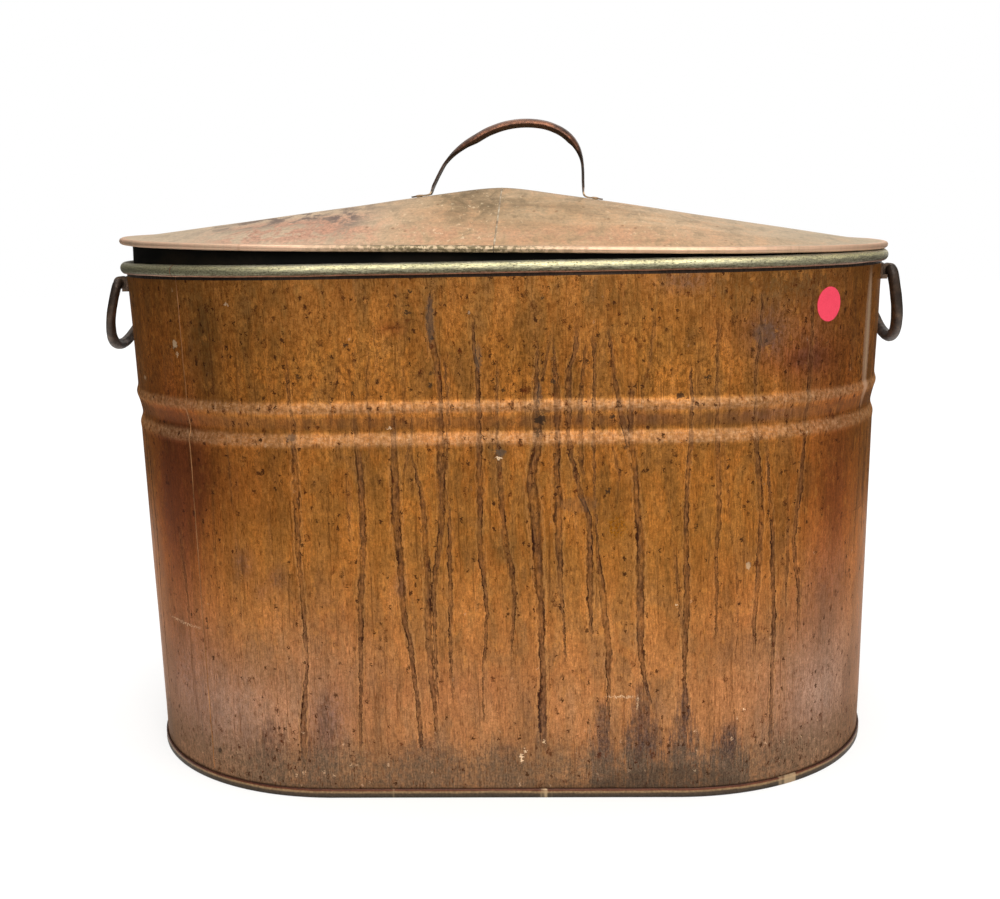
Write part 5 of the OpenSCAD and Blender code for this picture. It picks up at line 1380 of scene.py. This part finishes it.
# past the object's own shadow the camera sees the floor run out into plain white
glow = fm_.t.nodes.new("ShaderNodeEmission")
glow.inputs["Color"].default_value = (1, 1, 1, 1)
glow.inputs["Strength"].default_value = 1.1
fx, fy, _ = fm_.sep(fm_.obj())
fd = fm_.op("SQRT", fm_.op("ADD", fm_.op("POWER", fm_.op("DIVIDE", fx, 1.0), 2.0), fm_.op("POWER", fm_.op("DIVIDE", fy, 0.8), 2.0)))
seen = fm_.op("MULTIPLY", fm_.rng(fd, 0.22, 0.62, 0.55, 1.0, True), fm_.t.nodes.new("ShaderNodeLightPath").outputs["Is Camera Ray"])
fmix = fm_.t.nodes.new("ShaderNodeMixShader")
fm_.t.links.new(seen, fmix.inputs[0])
fm_.t.links.new(fm_.p.outputs["BSDF"], fmix.inputs[1])
fm_.t.links.new(glow.outputs[0], fmix.inputs[2])
fm_.t.links.new(fmix.outputs[0], fm_.out.inputs["Surface"])
floor_mat = fm_.m
seg = 96
fv = [(0.0, 0.0, -0.0003)] + [(7.0 * math.cos(2 * math.pi * i / seg), 7.0 * math.sin(2 * math.pi * i / seg), -0.0003) for i in range(seg)]
ff = [(0, 1 + i, 1 + (i + 1) % seg) for i in range(seg)]
me = bpy.data.meshes.new("floor")
me.from_pydata(fv, [], ff)
me.materials.append(floor_mat)
floor = bpy.data.objects.new("floor", me)
bpy.context.scene.collection.objects.link(floor)

# ------------------------------------------------------------------ light
world = bpy.data.worlds.new("studio")
bpy.context.scene.world = world
world.use_nodes = True
wt = world.node_tree
wt.nodes.clear()
wo = wt.nodes.new("ShaderNodeOutputWorld")


def wnode(kind, a, b=None, clamp=False):
    n = wt.nodes.new("ShaderNodeMath")
    n.operation = kind
    n.use_clamp = clamp
    for s_, v_ in zip(n.inputs, (a, b)):
        if isinstance(v_, bpy.types.NodeSocket):
            wt.links.new(v_, s_)
        elif v_ is not None:
            s_.default_value = v_
    return n.outputs[0]


def wrng(v, a, b, c, d):
    n = wt.nodes.new("ShaderNodeMapRange")
    n.interpolation_type = "SMOOTHSTEP"
    wt.links.new(v, n.inputs[0])
    for s_, v_ in zip(n.inputs[1:5], (a, b, c, d)):
        s_.default_value = v_
    return n.outputs[0]


wsep = wt.nodes.new("ShaderNodeSeparateXYZ")
wt.links.new(wt.nodes.new("ShaderNodeTexCoord").outputs["Generated"], wsep.inputs[0])
wx, wy, wz = wsep.outputs
front = wrng(wnode("ADD", wy, wnode("MULTIPLY", wx, -0.50)), -1.0, -0.25, W_FRONT, 0.0)
sky = wnode("MULTIPLY", wnode("MULTIPLY", wrng(wy, 0.25, 0.75, 0.0, 1.0), wrng(wz, 0.30, 0.60, 0.0, W_SKY)), wrng(wx, -0.25, 0.45, 1.04, 0.50))
side = wnode("MULTIPLY", wrng(wx, -0.3, 0.8, 0.03, 0.12), wrng(wy, 0.1, 0.6, 1.0, 0.3))
upper = wrng(wz, 0.15, 0.95, 0.0, W_TOP)
strip = wnode("MULTIPLY", wrng(wx, -0.10, 0.12, 0.22, 1.0), wrng(wy, 0.80, 0.88, 0.0, W_STRIP))
glow_in = wnode("ADD", wnode("ADD", wnode("ADD", front, upper), wnode("ADD", sky, side)), wnode("ADD", strip, W_BASE))
bgs = []
for strength, col in ((1.0, (1.0, 0.965, 0.92)), (1.0, (1.0, 1.0, 1.0))):
    b = wt.nodes.new("ShaderNodeBackground")
    b.inputs["Strength"].default_value = strength
    b.inputs["Color"].default_value = col + (1,)
    bgs.append(b)
wt.links.new(glow_in, bgs[0].inputs["Strength"])
lp = wt.nodes.new("ShaderNodeLightPath")
mx = wt.nodes.new("ShaderNodeMixShader")
wt.links.new(lp.outputs["Is Camera Ray"], mx.inputs[0])
wt.links.new(bgs[0].outputs[0], mx.inputs[1])
wt.links.new(bgs[1].outputs[0], mx.inputs[2])
wt.links.new(mx.outputs[0], wo.inputs[0])


def area(name, loc, target, size, power, color=(1, 1, 1)):
    d = bpy.data.lights.new(name, "AREA")
    d.shape = "RECTANGLE"
    d.size, d.size_y = size
    d.energy = power
    d.color = color
    o = bpy.data.objects.new(name, d)
    bpy.context.scene.collection.objects.link(o)
    from mathutils import Vector
    v = Vector(target) - Vector(loc)
    o.location = loc
    o.rotation_euler = v.to_track_quat("-Z", "Y").to_euler()
    return o


area("top", (0.0, -0.35, 2.4), (0, 0.0, 0.3), (2.2, 1.4), 34, (1.0, 0.98, 0.95))
area("key", (0.30, -2.3, 1.5), (0.03, 0, 0.2), (1.8, 1.2), 36, (1.0, 0.97, 0.93))

sc = bpy.context.scene
sc.view_settings.view_transform = "Standard"
sc.view_settings.look = "None"
sc.view_settings.exposure = 0.0
sc.view_settings.gamma = 1.0
